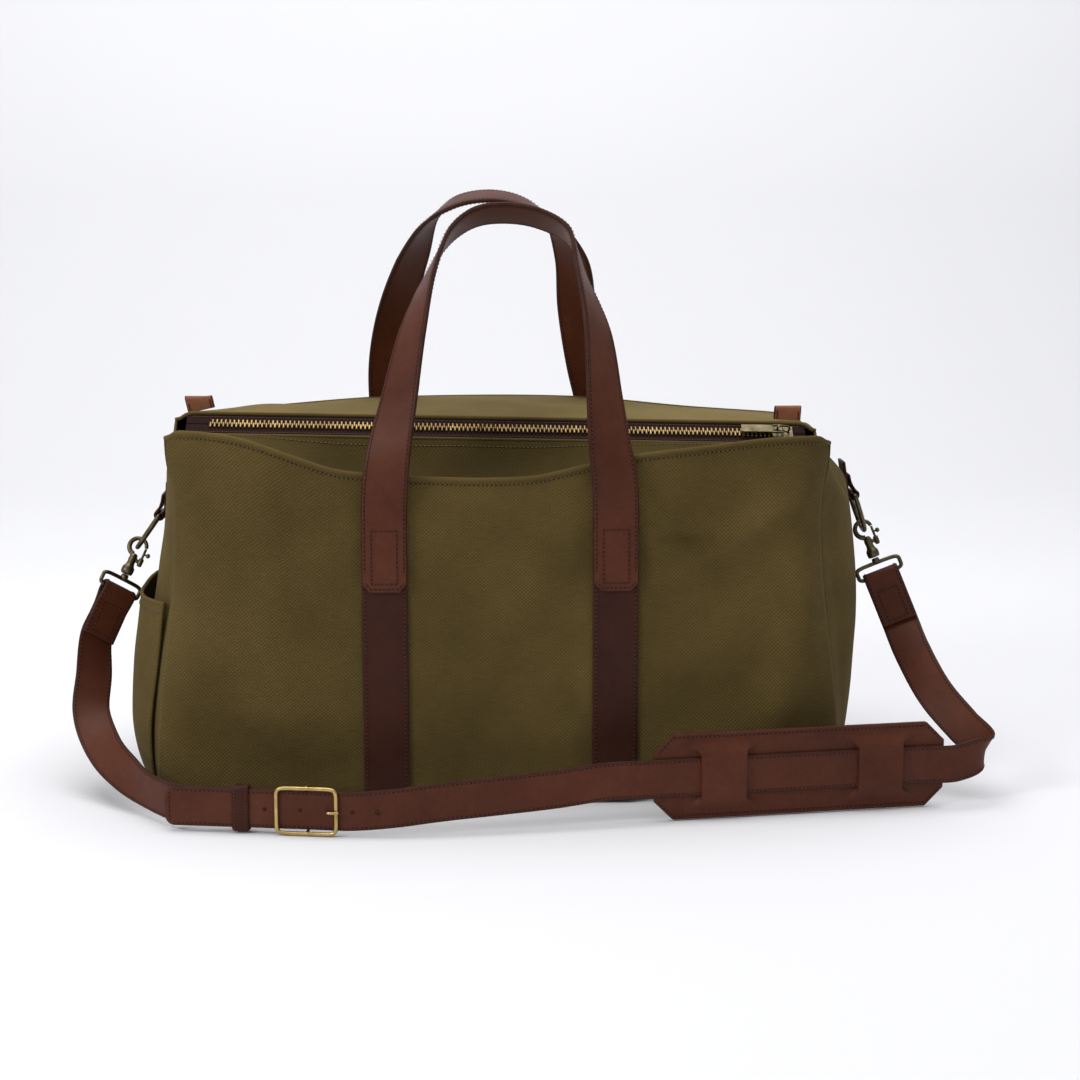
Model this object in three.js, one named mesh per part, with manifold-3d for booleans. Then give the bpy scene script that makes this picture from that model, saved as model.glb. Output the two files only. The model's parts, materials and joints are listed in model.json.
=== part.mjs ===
// A canvas weekender duffel bag: leather handles, a zipped top, an end slip pocket and a clip-on shoulder
// strap with a buckle and a sliding pad. Millimetres. +Z is up, +X runs to the bag's right end and -Y is its
// front. The origin is the centre of the base.

import * as THREE from 'three';
import { mergeVertices } from 'three/addons/utils/BufferGeometryUtils.js';
import Module from 'manifold-3d';

const wasm = await Module();
wasm.setup();

// ---- driving dimensions -------------------------------------------------------------------------------
const GAP = 0.4; // clearance between pieces that lie against each other
const CANVAS = 2.4; // canvas with its lining bonded on
const LEATHER = 2.4; // strap leather
const SEAM_X = 243; // half the front panel's width at the top
const SEAM_FLARE = 18; // how much wider the bag is at its base
const FRONT_Y = 118; // half the depth at the rim
const BELLY = 6; // how far the front and back swell at mid height
const CORNER_PULL = 8; // how far the panels turn in at the side seams
const RIM_MIN = 259; // front rim height at the middle, where it sags
const RIM_SAG = 25; // how much higher the rim's ends stand
const BACK_RIM = 283; // back rim height
const BASE_T = 3; // base panel thickness
const WALL_TOP_LAP = CANVAS + 5 * GAP; // the wall panels stop this far below the top panels
const RIM_SHELF = 11; // the top stays level this far in from the front rim before it slopes

// The zip's centre line falls by slope along x, and its tapes lean toward the front by tilt radians.
const ZIP = { y: -36, z: 276, slope: -0.022, tilt: 0.6, reach: 240, teethLeft: -222, teethRight: 229 };
const TAPE_HALF = 13;
const TAPE_CLEAR = 1.4; // from a tape's outer edge to the top panel beside it
const TAPE_T = 1.2;
const CHAIN_HALF = 4.6;
const CHAIN_T = 2.6;
const BLADE_SLOT = 1.4; // the gap between the two rows of teeth
const SLIDER_X = 222; // parked position, zip closed
const PLATE_T = 1.4; // slider plates, and the pull's tab
const PULL_WIRE = 0.9;
const END_TAB = { width: 21, thick: 4.8, height: 9, behind: 19, inset: 3 };

const HANDLE = { x: 86, width: 34, thick: 3.2, pivotZ: 228, patchBottom: 166 };
// Stations of half a handle above its foot: [x, distance in from the foot, z, wx, wy, lean]. The width lies
// along wx and wy, lean shifts both halves along x, and roll tips the grip's outer edge up.
const HANDLE_ARCH = {
  front: {
    half: [[84.5, -1.5, 250, 0.97, 0.12, 0], [81, 1, 275, 0.9, 0.3, 0], [76, 14, 310, 0.78, 0.5, 2],
      [69, 38, 358, 0.64, 0.72, 5], [57, 58, 398, 0.32, 0.92, 6], [45.5, 74, 425, 0.12, 1, 9],
      [24, 82, 438.5, 0.02, 1, 6]],
    apex: { x: 3, back: 85, z: 442 },
    roll: 0.5,
  },
  rear: {
    half: [[86.5, -1.5, 250, 1, 0, 0], [87, 1, 275, 1, 0.03, -1], [83, 12, 310, 1, 0.05, -5],
      [74.5, 32, 358, 0.9, 0.35, -6], [64.5, 56, 402, 0.75, 0.6, -2], [49, 74, 433, 0.35, 0.9, -3],
      [27, 82, 448, 0.08, 1, -5]],
    apex: { x: -5, back: 85, z: 453 },
    roll: 0.2,
  },
};
const STRAP_W = 29;
const RING_WIRE = 1.9;
const HOOK_WIRE = 1.7;
const EYE_R = 6.8; // hook eye, to the wire's centre line
const BAR_DROP = 39; // from the hook's eye down to the bar that carries the strap
const LOOP_TOP = 28.5; // from the hook's eye down to the loop's upper side
const LOOP_BAR = 1.6;

const COLOUR = { canvas: 0x5a4c2c, lining: 0x2c2a24, leather: 0x4d2a20, tan: 0x7d553c, dark: 0x3a1d16,
  brass: 0xa98a4a, antique: 0x4c4434, tape: 0x3a2018, board: 0x6a5c48 };

const bag = new THREE.Group();

// ---- geometry helpers ---------------------------------------------------------------------------------
function piece(name, geometry, colour, roughness = 0.8, metalness = 0) {
  const material = new THREE.MeshStandardMaterial({ color: colour, roughness, metalness });
  const mesh = new THREE.Mesh(geometry, material);
  mesh.name = name;
  bag.add(mesh);
  return mesh;
}

// Positions only, shared vertices merged, faces turned outward.
function closed(geometry) {
  let solid = geometry.clone();
  for (const key of Object.keys(solid.attributes)) {
    if (key !== 'position') solid.deleteAttribute(key);
  }
  solid = mergeVertices(solid, 1e-3);
  const p = solid.attributes.position;
  const index = solid.index.array;
  const [a, b, c] = [new THREE.Vector3(), new THREE.Vector3(), new THREE.Vector3()];
  let volume = 0;
  for (let i = 0; i < index.length; i += 3) {
    a.fromBufferAttribute(p, index[i]);
    b.fromBufferAttribute(p, index[i + 1]);
    c.fromBufferAttribute(p, index[i + 2]);
    volume += a.dot(b.cross(c));
  }
  if (volume < 0) {
    for (let i = 0; i < index.length; i += 3) {
      [index[i], index[i + 1]] = [index[i + 1], index[i]];
    }
  }
  return solid;
}

// Moves every vertex of a geometry to place(x, y, z).
function shaped(geometry, place) {
  const p = geometry.attributes.position;
  for (let i = 0; i < p.count; i += 1) {
    const [x, y, z] = place(p.getX(i), p.getY(i), p.getZ(i));
    p.setXYZ(i, x, y, z);
  }
  return closed(geometry);
}

function asManifold(geometry) {
  const g = closed(geometry);
  return new wasm.Manifold(new wasm.Mesh({
    numProp: 3,
    vertProperties: new Float32Array(g.attributes.position.array),
    triVerts: new Uint32Array(g.index.array),
  }));
}

function asGeometry(manifold) {
  const mesh = manifold.getMesh();
  const g = new THREE.BufferGeometry();
  g.setAttribute('position', new THREE.BufferAttribute(new Float32Array(mesh.vertProperties), 3));
  g.setIndex(new THREE.BufferAttribute(new Uint32Array(mesh.triVerts), 1));
  return g;
}

function joined(first, ...rest) {
  return asGeometry(rest.reduce((sum, g) => sum.add(asManifold(g)), asManifold(first)));
}

function cut(first, ...tools) {
  return asGeometry(tools.reduce((left, g) => left.subtract(asManifold(g)), asManifold(first)));
}

const lerp = THREE.MathUtils.lerp;
const clamp01 = (v) => Math.min(1, Math.max(0, v));
const V = (x, y, z) => new THREE.Vector3(x, y, z);

// A sheet: a flat box of nu by nv cells whose u, v in -1..1 and 0..1 and depth 0..1 go through place.
function sheet(nu, nv, place) {
  return shaped(new THREE.BoxGeometry(2, 1, 1, nu, nv, 1), (x, y, z) => place(x, y + 0.5, z + 0.5));
}

function rod(from, to, radius, sides = 12) {
  const axis = to.clone().sub(from);
  const g = new THREE.CylinderGeometry(radius, radius, axis.length(), sides);
  g.applyQuaternion(new THREE.Quaternion().setFromUnitVectors(V(0, 1, 0), axis.clone().normalize()));
  return g.translate(...from.clone().add(to).multiplyScalar(0.5).toArray());
}

// A closed wire loop: path(t) for t in 0..1 gives its centre line in the XY plane.
function wireLoop(path, radius, around = 36, section = 8) {
  return shaped(new THREE.TorusGeometry(10, 1, section, around), (x, y, z) => {
    const t = Math.atan2(y, x) / (2 * Math.PI);
    const out = Math.hypot(x, y) - 10;
    const [px, py] = path(t);
    const [ax, ay] = path(t - 1e-4);
    const [bx, by] = path(t + 1e-4);
    const length = Math.hypot(bx - ax, by - ay);
    return [px + (out * radius * (by - ay)) / length, py - (out * radius * (bx - ax)) / length, z * radius];
  });
}

// A rounded rectangle as a path for wireLoop, by half sizes.
function roundedRect(halfX, halfY, power = 0.35) {
  const bend = (v) => Math.sign(v) * Math.abs(v) ** power;
  return (t) => [halfX * bend(Math.cos(2 * Math.PI * t)), halfY * bend(Math.sin(2 * Math.PI * t))];
}

// A strap along stations [x, y, z, wx, wy, wz]: centre line and width direction.
function ribbon(stations, width, thickness, cells) {
  const spine = new THREE.CatmullRomCurve3(stations.map((s) => V(s[0], s[1], s[2])), false, 'centripetal');
  const across = new THREE.CatmullRomCurve3(stations.map((s) => V(s[3], s[4], s[5])), false, 'centripetal');
  return shaped(new THREE.BoxGeometry(1, width, thickness, cells, 1, 1), (x, y, z) => {
    const t = clamp01(x + 0.5);
    const tangent = spine.getTangent(t);
    const side = across.getPoint(t);
    side.addScaledVector(tangent, -side.dot(tangent)).normalize();
    const normal = tangent.clone().cross(side);
    return spine.getPoint(t).addScaledVector(side, y).addScaledVector(normal, z).toArray();
  });
}

// ---- the bag's outer surface --------------------------------------------------------------------------
const seamX = (z) => SEAM_X + SEAM_FLARE * (1 - THREE.MathUtils.smoothstep(z, 20, 210));
const frontRim = (x) => RIM_MIN + RIM_SAG * Math.abs(x / SEAM_X) ** 3;
const zipZ = (x) => ZIP.z + ZIP.slope * x;
// A point off the zip's centre line: across is positive toward the rear, rise is square to the tapes.
const onZip = (x, across, rise) => [
  x,
  ZIP.y + across * Math.cos(ZIP.tilt) - rise * Math.sin(ZIP.tilt),
  zipZ(x) + across * Math.sin(ZIP.tilt) + rise * Math.cos(ZIP.tilt),
];

function wallY(x, z) {
  const u = clamp01(Math.abs(x) / seamX(z));
  return FRONT_Y + BELLY * Math.sin((Math.PI * z) / RIM_MIN) - CORNER_PULL * u ** 6;
}

function endBulge(side, z) {
  const [size, lean] = side < 0 ? [22, 0.56] : [36, 1.4];
  const t = clamp01(z / 285);
  return size * Math.max(0, Math.sin(Math.PI * t ** lean)) ** 0.6 + 3;
}

function endX(side, y, z) {
  const u = clamp01(Math.abs(y) / FRONT_Y);
  return seamX(z) + endBulge(side, z) * (1 - u ** 2.4);
}

// ---- canvas panels ------------------------------------------------------------------------------------
function wallPanel(name, side, rim) {
  const bottom = BASE_T + GAP;
  piece(name, sheet(14, 8, (u, v, d) => {
    const top = rim(u * SEAM_X) - WALL_TOP_LAP;
    const z = lerp(bottom, top, v);
    const x = u * seamX(z);
    return [x, side * (wallY(x, z) - CANVAS * d), z];
  }), COLOUR.canvas, 0.9);
}

function topZ(x, y) {
  const [, frontEdgeY, frontEdgeZ] = onZip(x, -(TAPE_HALF + TAPE_CLEAR), 0);
  const [, rearEdgeY, rearEdgeZ] = onZip(x, TAPE_HALF + TAPE_CLEAR, 0);
  const shelfY = RIM_SHELF - FRONT_Y;
  if (y < frontEdgeY) return lerp(frontRim(x), frontEdgeZ, clamp01((y - shelfY) / (frontEdgeY - shelfY)));
  if (y > rearEdgeY) return lerp(rearEdgeZ, BACK_RIM, clamp01((y - rearEdgeY) / (FRONT_Y - rearEdgeY)));
  return lerp(frontEdgeZ, rearEdgeZ, (y - frontEdgeY) / (rearEdgeY - frontEdgeY));
}

function endPanel(name, side) {
  const bottom = BASE_T + GAP;
  piece(name, sheet(10, 8, (u, v, d) => {
    const y = u * (FRONT_Y - CORNER_PULL - CANVAS - 5 * GAP);
    const z = lerp(bottom, topZ(side * SEAM_X, y) - WALL_TOP_LAP, v);
    return [side * (endX(side, y, z) - CANVAS * d), y, z];
  }), COLOUR.canvas, 0.9);
}

function basePanel() {
  const [halfX, halfY, corner] = [SEAM_X + SEAM_FLARE - 1, FRONT_Y - 1, 14];
  const outline = new THREE.Shape();
  outline.moveTo(halfX, -halfY + corner);
  outline.absarc(halfX - corner, halfY - corner, corner, 0, Math.PI / 2);
  outline.absarc(-halfX + corner, halfY - corner, corner, Math.PI / 2, Math.PI);
  outline.absarc(-halfX + corner, -halfY + corner, corner, Math.PI, 1.5 * Math.PI);
  outline.absarc(halfX - corner, -halfY + corner, corner, 1.5 * Math.PI, 2 * Math.PI);
  const plate = new THREE.ExtrudeGeometry(outline, { depth: BASE_T, bevelEnabled: false, curveSegments: 5 });
  piece('bottom_panel', closed(plate), COLOUR.canvas, 0.9);
}

function topPanel(name, side) {
  const [, inner] = onZip(0, side * (TAPE_HALF + TAPE_CLEAR), 0);
  const reach = SEAM_X + 2;
  piece(name, sheet(14, 3, (u, v, d) => {
    const x = u * reach;
    const outer = side * wallY(x, RIM_MIN);
    const y = lerp(inner, outer, v);
    return [x, y, topZ(x, y) - CANVAS * d];
  }), COLOUR.canvas, 0.9);
}

// A patch pocket on the left end, open at its upper edge.
const POCKET = { half: 92, top: 152, depth: 9.5 };
function pocketSurface(y, z) {
  const u = clamp01(Math.abs(y) / POCKET.half);
  const open = POCKET.depth * clamp01((z - 10) / (POCKET.top - 10)) ** 0.7 * (1 - u ** 4);
  return endX(-1, y, z) + GAP + open + CANVAS;
}

function endPocket() {
  piece('left_end_pocket', sheet(10, 7, (u, v, d) => {
    const y = u * POCKET.half;
    const z = lerp(BASE_T + GAP + 1, POCKET.top, v);
    return [-(pocketSurface(y, z) - CANVAS * d), y, z];
  }), COLOUR.canvas, 0.9);
}

// ---- inside -------------------------------------------------------------------------------------------
function inside() {
  const board = new THREE.BoxGeometry(450, 196, 3);
  piece('base_board', closed(board.translate(0, 0, BASE_T + GAP + 1.5)), COLOUR.board, 0.7);
  const floor = BASE_T + GAP + 3 + GAP;
  const shell = new THREE.BoxGeometry(470, 204, 230).translate(0, 0, floor + 115);
  const hollow = new THREE.BoxGeometry(468, 202, 230).translate(0, 0, floor + 116);
  piece('lining', cut(shell, hollow), COLOUR.lining, 0.95);
}

// ---- zip ----------------------------------------------------------------------------------------------
function zipTape(name, side) {
  const tape = sheet(2, 1, (u, v, d) =>
    onZip(u * ZIP.reach, side * lerp(BLADE_SLOT / 2, TAPE_HALF, v), -TAPE_T * (1 - d)));
  const teeth = sheet(2, 1, (u, v, d) => {
    const x = lerp(ZIP.teethLeft, ZIP.teethRight, (u + 1) / 2);
    return onZip(x, side * lerp(BLADE_SLOT / 2, CHAIN_HALF, v), -TAPE_T / 2 - CHAIN_T * (0.5 - d));
  });
  piece(name, joined(tape, teeth), COLOUR.tape, 0.6);
}

// The slider's frame: x runs along the zip, y across its tapes and z square to them.
function sliderFrame() {
  const along = V(1, 0, ZIP.slope).normalize();
  const out = along.clone().cross(V(0, Math.cos(ZIP.tilt), Math.sin(ZIP.tilt))).normalize();
  return new THREE.Matrix4().makeBasis(along, out.clone().cross(along), out)
    .setPosition(...onZip(SLIDER_X, 0, -TAPE_T / 2));
}

const PULL = { rise: 2.7, eye: 4.4, length: 24, width: 8 };
function zipSlider() {
  const onFrame = (g) => closed(g.applyMatrix4(sliderFrame()));
  const plateAt = CHAIN_T / 2 + GAP + PLATE_T / 2;
  const plates = [1, -1].map((s) => new THREE.BoxGeometry(15, 12, PLATE_T).translate(0, 0, s * plateAt));
  const blade = new THREE.BoxGeometry(7, BLADE_SLOT - 1.5 * GAP, 2 * plateAt);
  const deck = plateAt + PLATE_T / 2;
  const bridge = wireLoop(roundedRect(4.6, 3.2, 0.6), PULL_WIRE, 20, 6);
  bridge.rotateX(Math.PI / 2).translate(0, 0, deck + 2.8);
  piece('zip_slider', onFrame(joined(plates[0], plates[1], blade, bridge)), COLOUR.brass, 0.35, 1);
  // The pull: a wire eye whose end bar lies inside the bridge, and a flat tab toward the bag's middle.
  const height = deck + PULL.rise;
  const eye = wireLoop(roundedRect(PULL.eye, 4, 0.35), PULL_WIRE, 20, 6).translate(-PULL.eye, 0, height);
  const tab = new THREE.BoxGeometry(PULL.length, PULL.width, PLATE_T);
  tab.translate(-2 * PULL.eye - PULL.length / 2, 0, height);
  piece('zip_pull', onFrame(joined(eye, tab)), COLOUR.brass, 0.35, 1);
}

// A folded leather tab that stands up behind each end of the zip, its fold uppermost.
function zipEndTab(name, x) {
  const half = END_TAB.thick / 2;
  const shape = new THREE.Shape();
  shape.moveTo(-half, 0);
  shape.lineTo(half, 0);
  shape.lineTo(half, END_TAB.height);
  shape.absarc(0, END_TAB.height, half, 0, Math.PI);
  shape.lineTo(-half, 0);
  const options = { depth: END_TAB.width, bevelEnabled: false, curveSegments: 6 };
  const fold = new THREE.ExtrudeGeometry(shape, options);
  fold.rotateX(Math.PI / 2).rotateZ(Math.PI / 2);
  const y = ZIP.y + END_TAB.behind;
  fold.translate(x - END_TAB.width / 2, y, topZ(x - END_TAB.width / 2, y) + 1.5 * GAP);
  piece(name, closed(fold), COLOUR.tan, 0.7);
}

// ---- handles ------------------------------------------------------------------------------------------
// A flat leather piece on the front or back wall at x, from z0 up to the handle's foot, its lower corners cut
// off by chamfer. lift is its clearance from the wall.
function wallLeather(name, side, x, z0, lift, chamfer) {
  const top = HANDLE.pivotZ - 4;
  piece(name, sheet(2, 6, (u, v, d) => {
    const z = lerp(z0, top, v);
    const pinch = Math.max(0, chamfer - (z - z0));
    return [x + u * (HANDLE.width / 2 - pinch), side * (wallY(x, z) + lift + LEATHER * (1 - d)), z];
  }), COLOUR.leather, 0.6);
}

function handleSet(label, side) {
  for (const [end, sign] of [['left', -1], ['right', 1]]) {
    const x = sign * HANDLE.x;
    wallLeather(`${label}_strip_${end}`, side, x, BASE_T + GAP + 1, GAP, 0);
    wallLeather(`${label}_handle_patch_${end}`, side, x, HANDLE.patchBottom, LEATHER + 2 * GAP, 6);
  }
  const legY = wallY(HANDLE.x, HANDLE.pivotZ) + LEATHER + 2 * GAP + HANDLE.thick / 2;
  const { half, apex, roll } = HANDLE_ARCH[label];
  const foot = [HANDLE.x, 0, HANDLE.pivotZ - 1.2, 1, 0, 0];
  const rising = [foot, ...half].map(([x, back, ...rest]) => [x, legY - back, ...rest]);
  // The left half runs up, the right half is its mirror running down; lean moves both the same way.
  const left = rising.map(([x, y, z, wx, wy, lean]) => [lean - x, y, z, wx, wy]);
  const right = rising.map(([x, y, z, wx, wy, lean]) => [lean + x, y, z, -wx, wy]).reverse();
  const stations = [...left, [apex.x, legY - apex.back, apex.z, 0, 1], ...right]
    .map(([x, y, z, wx, wy]) => [x, side * y, z, wx, side * wy, roll * wy]);
  piece(`${label}_handle`, ribbon(stations, HANDLE.width, HANDLE.thick, 40), COLOUR.leather, 0.6);
}

// ---- ring tabs, rings, hooks --------------------------------------------------------------------------
const CLIP = {
  left: {
    side: -1, barZ: 206, ring: V(-285, 0, 179), down: V(-0.38, -0.36, -0.85), across: V(0.7, 0.48, -0.47),
  },
  right: {
    side: 1, barZ: 219, ring: V(294, 0, 189), down: V(0.35, -0.25, -0.9), across: V(0.85, -0.1, 0.36),
  },
};
const TAB = { wall: 2, hole: RING_WIRE + 0.5, width: 26, height: 26 };
const barX = ({ side, barZ }) => endX(side, 0, barZ - 5) + TAB.hole + TAB.wall + GAP;

function ringTab(label, clip) {
  const { wall, hole, width, height } = TAB;
  const ring = new THREE.Shape();
  ring.absarc(0, 0, hole + wall, 0, 2 * Math.PI);
  ring.holes.push(new THREE.Path().absarc(0, 0, hole, 0, 2 * Math.PI));
  const curl = new THREE.ExtrudeGeometry(ring, { depth: width, bevelEnabled: false, curveSegments: 16 });
  curl.rotateX(Math.PI / 2).translate(clip.side * barX(clip), width / 2, clip.barZ);
  const tail = sheet(1, 4, (u, v, d) => {
    const z = lerp(clip.barZ + hole + 0.6, clip.barZ + height, v);
    const outer = barX(clip) + hole + wall - 1.5 + v * 2;
    const x = lerp(endX(clip.side, 0, z) + 2 * GAP, outer, d);
    return [clip.side * x, (u * width) / 2, z];
  });
  piece(`ring_tab_${label}`, joined(curl, tail), COLOUR.dark, 0.6);
}

function dRing(label, clip) {
  const bar = V(clip.side * barX(clip), 0, clip.barZ);
  const drop = clip.ring.clone().sub(bar);
  const reach = drop.length();
  const halfBar = 16;
  const path = (t) => {
    const [c, s] = [Math.cos(2 * Math.PI * t), Math.sin(2 * Math.PI * t)];
    const bend = (v, p) => Math.sign(v) * Math.abs(v) ** p;
    const straight = 6; // the bar's end of the ring is square, the other end round
    if (s > 0) return [halfBar * bend(c, 0.2), straight * s ** 0.2 - straight];
    return [halfBar * bend(c, 0.75), (reach - straight) * s - straight];
  };
  const ring = wireLoop(path, RING_WIRE, 28, 7);
  const up = drop.clone().normalize().negate();
  const frame = new THREE.Matrix4().makeBasis(V(0, 1, 0), up, V(0, 1, 0).cross(up));
  ring.applyMatrix4(frame).translate(bar.x, bar.y, bar.z);
  piece(`d_ring_${label}`, closed(ring), COLOUR.antique, 0.35, 1);
}

// Frames in which +Z points back up the hook: one square to the ring's wire, one along the strap.
function frameOf(up, across) {
  const z = up.clone().normalize();
  const x = across.clone().addScaledVector(z, -across.dot(z)).normalize();
  return new THREE.Matrix4().makeBasis(x, z.clone().cross(x), z);
}

function snapHook(label, clip) {
  const place = (g, across) => {
    g.applyMatrix4(frameOf(clip.down.clone().negate(), across));
    return closed(g.translate(clip.ring.x, clip.ring.y, clip.ring.z));
  };
  const eyeAcross = V(1, 0, 0);
  const eye = wireLoop(roundedRect(EYE_R, EYE_R, 1), HOOK_WIRE, 22, 7).rotateX(Math.PI / 2);
  const gate = new THREE.BoxGeometry(6, 8, 5).translate(EYE_R, 0, -1.6);
  const profile = [[0, -7], [2.6, -7], [3.4, -10], [3.4, -14], [4.6, -18], [5, -21], [4.6, -24], [0, -24]];
  const barrel = new THREE.LatheGeometry(profile.map(([r, z]) => new THREE.Vector2(r, z)), 12);
  barrel.rotateX(Math.PI / 2);
  const guide = rod(V(EYE_R, 0, -15), V(EYE_R, 0, -8), 2.2, 12);
  const bridge = new THREE.BoxGeometry(4, 2.6, 7).translate(3.2, 0, -11.5);
  const socket = rod(V(0, 0, -26), V(0, 0, -19), 2, 20);
  const boltWay = rod(V(EYE_R, 0, -16), V(EYE_R, 0, 1.4), 1.3, 16);
  const body = cut(joined(cut(eye, gate), barrel, guide, bridge), socket, boltWay);
  piece(`hook_${label}`, place(body, eyeAcross), COLOUR.antique, 0.45, 1);
  // The spring bolt closes the eye's gap; its thumb knob stands out to the side.
  const bolt = rod(V(EYE_R, 0, -11), V(EYE_R, 0, 0.4), 1, 10);
  const knob = new THREE.SphereGeometry(1.9, 8, 6).translate(EYE_R + 3.6, 0, -4.2);
  const stalk = rod(V(EYE_R, 0, -4.2), V(EYE_R + 3, 0, -4.2), 0.8, 8);
  piece(`hook_bolt_${label}`, place(joined(bolt, knob, stalk), eyeAcross), COLOUR.antique, 0.45, 1);
  // The swivel: a pin in the hook's socket, a collar and the rectangular loop that carries the strap.
  const loop = wireLoop(roundedRect(STRAP_W / 2 + 3.4, (BAR_DROP - LOOP_TOP) / 2, 0.4), LOOP_BAR, 24, 6);
  loop.rotateX(Math.PI / 2).translate(0, 0, -(BAR_DROP + LOOP_TOP) / 2);
  const pin = rod(V(0, 0, -27), V(0, 0, -19.6), 1.6, 20);
  const collar = rod(V(0, 0, -28.4), V(0, 0, -24.6), 3, 16);
  piece(`hook_loop_${label}`, place(joined(loop, pin, collar), clip.across.clone()), COLOUR.antique, 0.45, 1);
}

// ---- shoulder strap -----------------------------------------------------------------------------------
const GROUND_Z = STRAP_W / 2 + 4.2; // the strap's centre height where the buckle carries it
// The centre bar's place, the strap's slope dy/dx there, and how far the bar lies behind the billet.
const BUCKLE = { x: -142, y: -192, heading: -0.15, barDepth: 4, barR: 1.2 };
// The billet's holes, measured from the buckle's centre bar. The prong is in the third.
const HOLES = [-31, -5, 14.6, 33, 51];
const PAD = { x: 223, y: -156, z: 33.6, slope: 0.151, length: 224, height: 65, thick: 3, chamfer: 14 };
const buckleY = (x) => BUCKLE.y + (x - BUCKLE.x) * BUCKLE.heading;
const padY = (x) => PAD.y + (x - PAD.x) * PAD.slope;

// The doubled end over the hook's loop: stations up the flap on the outer side, over the bar and down.
function turnOverBar(clip) {
  const down = clip.down.clone().normalize();
  const across = clip.across.clone().addScaledVector(down, -clip.across.dot(down)).normalize();
  const normal = down.clone().cross(across);
  const bar = clip.ring.clone().addScaledVector(down, BAR_DROP);
  const around = LOOP_BAR + 2 * GAP + LEATHER / 2;
  const lay = LEATHER / 2 + 0.3;
  const at = (n, d) => {
    const p = bar.clone().addScaledVector(normal, n).addScaledVector(down, d);
    return [p.x, p.y, p.z, across.x, across.y, across.z];
  };
  return [at(lay, 40), at(lay, 24), at(lay, 14), at(around, 3), at(around * 0.8, -around * 0.65),
    at(0, -around), at(-around * 0.8, -around * 0.65), at(-around, 3), at(-lay, 14), at(-lay, 24),
    at(-lay, 40)];
}

function strapShort() {
  const run = [
    [-317, -38, 84, 0.85, 0.35, -0.25], [-317, -57, 60, 0.8, 0.45, 0.1], [-303, -89, 39, 0.6, 0.35, 0.6],
    [-284, -118, 28, 0.3, 0.3, 0.85], [-259, -148, 20, 0, 0, 1],
  ];
  const behind = LEATHER + 2 * GAP + 0.6;
  const line = [[-232, 1], [-205, 0], [-180, 0], [-160, 0]]
    .map(([x, back]) => [x, buckleY(x) + behind + back, GROUND_Z, 0, 0, 1]);
  const end = [[BUCKLE.x - 2, buckleY(BUCKLE.x) + behind, GROUND_Z, 0, 0, 1]];
  const band = ribbon([...turnOverBar(CLIP.left), ...run, ...line, ...end], STRAP_W, LEATHER, 80);
  // The end is thinned and turned around the buckle's bar, with a slot in the middle for the prong.
  const turn = new THREE.Shape();
  turn.absarc(0, 0, 2.6, 0, 2 * Math.PI);
  turn.holes.push(new THREE.Path().absarc(0, 0, 1.5, 0, 2 * Math.PI));
  const slot = 2.4;
  const curls = [-STRAP_W / 2, slot].map((z) => {
    const depth = STRAP_W / 2 - slot;
    const curl = new THREE.ExtrudeGeometry(turn, { depth, bevelEnabled: false, curveSegments: 14 });
    return curl.translate(0, BUCKLE.barDepth, z).rotateZ(Math.atan(BUCKLE.heading))
      .translate(BUCKLE.x, BUCKLE.y, GROUND_Z);
  });
  piece('strap_short', joined(band, ...curls), COLOUR.leather, 0.6);
}

function strapLong() {
  const down = [
    [327, -44, 99, 0.8, -0.1, 0.5], [339, -78, 73, 0.75, -0.1, 0.58], [355, -105, 54, 0.6, -0.1, 0.75],
    [367, -127, 41, 0.3, -0.05, 0.92],
  ];
  const pad = [345, 320, 240, 160, 100, 76].map((x) => [x, padY(x), PAD.z, 0, 0, 1]);
  const front = [[40, -184, 30, 0, 0, 1], [0, -190.5, 27.5, 0, 0, 1], [-45, -196, 24.5, 0, 0, 1],
    [-80, -198.5, 21, 0, 0, 1]];
  const buckle = [-110, -142, -180, -212, -246].map((x) => [x, buckleY(x), GROUND_Z, 0, 0, 1]);
  const stations = [...turnOverBar(CLIP.right), ...down, ...pad, ...front, ...buckle];
  const band = ribbon(stations, STRAP_W, LEATHER, 120);
  const holes = HOLES.map((offset) => {
    const x = BUCKLE.x + offset;
    return rod(V(x, buckleY(x) - 6, GROUND_Z), V(x, buckleY(x) + 6, GROUND_Z), 2.2, 10);
  });
  piece('strap_long', cut(band, ...holes), COLOUR.leather, 0.6);
}

function shoulderPad() {
  const [halfL, halfH] = [PAD.length / 2, PAD.height / 2];
  const { chamfer } = PAD;
  const outline = new THREE.Shape();
  outline.moveTo(-halfL + chamfer, -halfH);
  outline.lineTo(halfL - chamfer, -halfH);
  outline.lineTo(halfL, -halfH + chamfer);
  outline.lineTo(halfL, halfH - chamfer);
  outline.lineTo(halfL - chamfer, halfH);
  outline.lineTo(-halfL + chamfer, halfH);
  outline.lineTo(-halfL, halfH - chamfer);
  outline.lineTo(-halfL, -halfH + chamfer);
  const space = LEATHER / 2 + GAP;
  const plate = new THREE.ExtrudeGeometry(outline, { depth: PAD.thick, bevelEnabled: false });
  plate.rotateX(Math.PI / 2).translate(0, space + PAD.thick, 0);
  const [bridgeW, footH] = [34, 5];
  const bridges = [-60, 61].flatMap((x) => {
    const strip = new THREE.BoxGeometry(bridgeW, LEATHER, STRAP_W + 12).translate(x, -space - LEATHER / 2, 0);
    const feet = [1, -1].map((s) => {
      const foot = new THREE.BoxGeometry(bridgeW, 2 * space + 2 * LEATHER, footH);
      return foot.translate(x, 0, s * (STRAP_W / 2 + 3.6));
    });
    return [strip, ...feet];
  });
  const pad = joined(plate, ...bridges).rotateZ(Math.atan(PAD.slope)).translate(PAD.x, PAD.y, PAD.z);
  piece('shoulder_pad', closed(pad), COLOUR.leather, 0.6);
}

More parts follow.
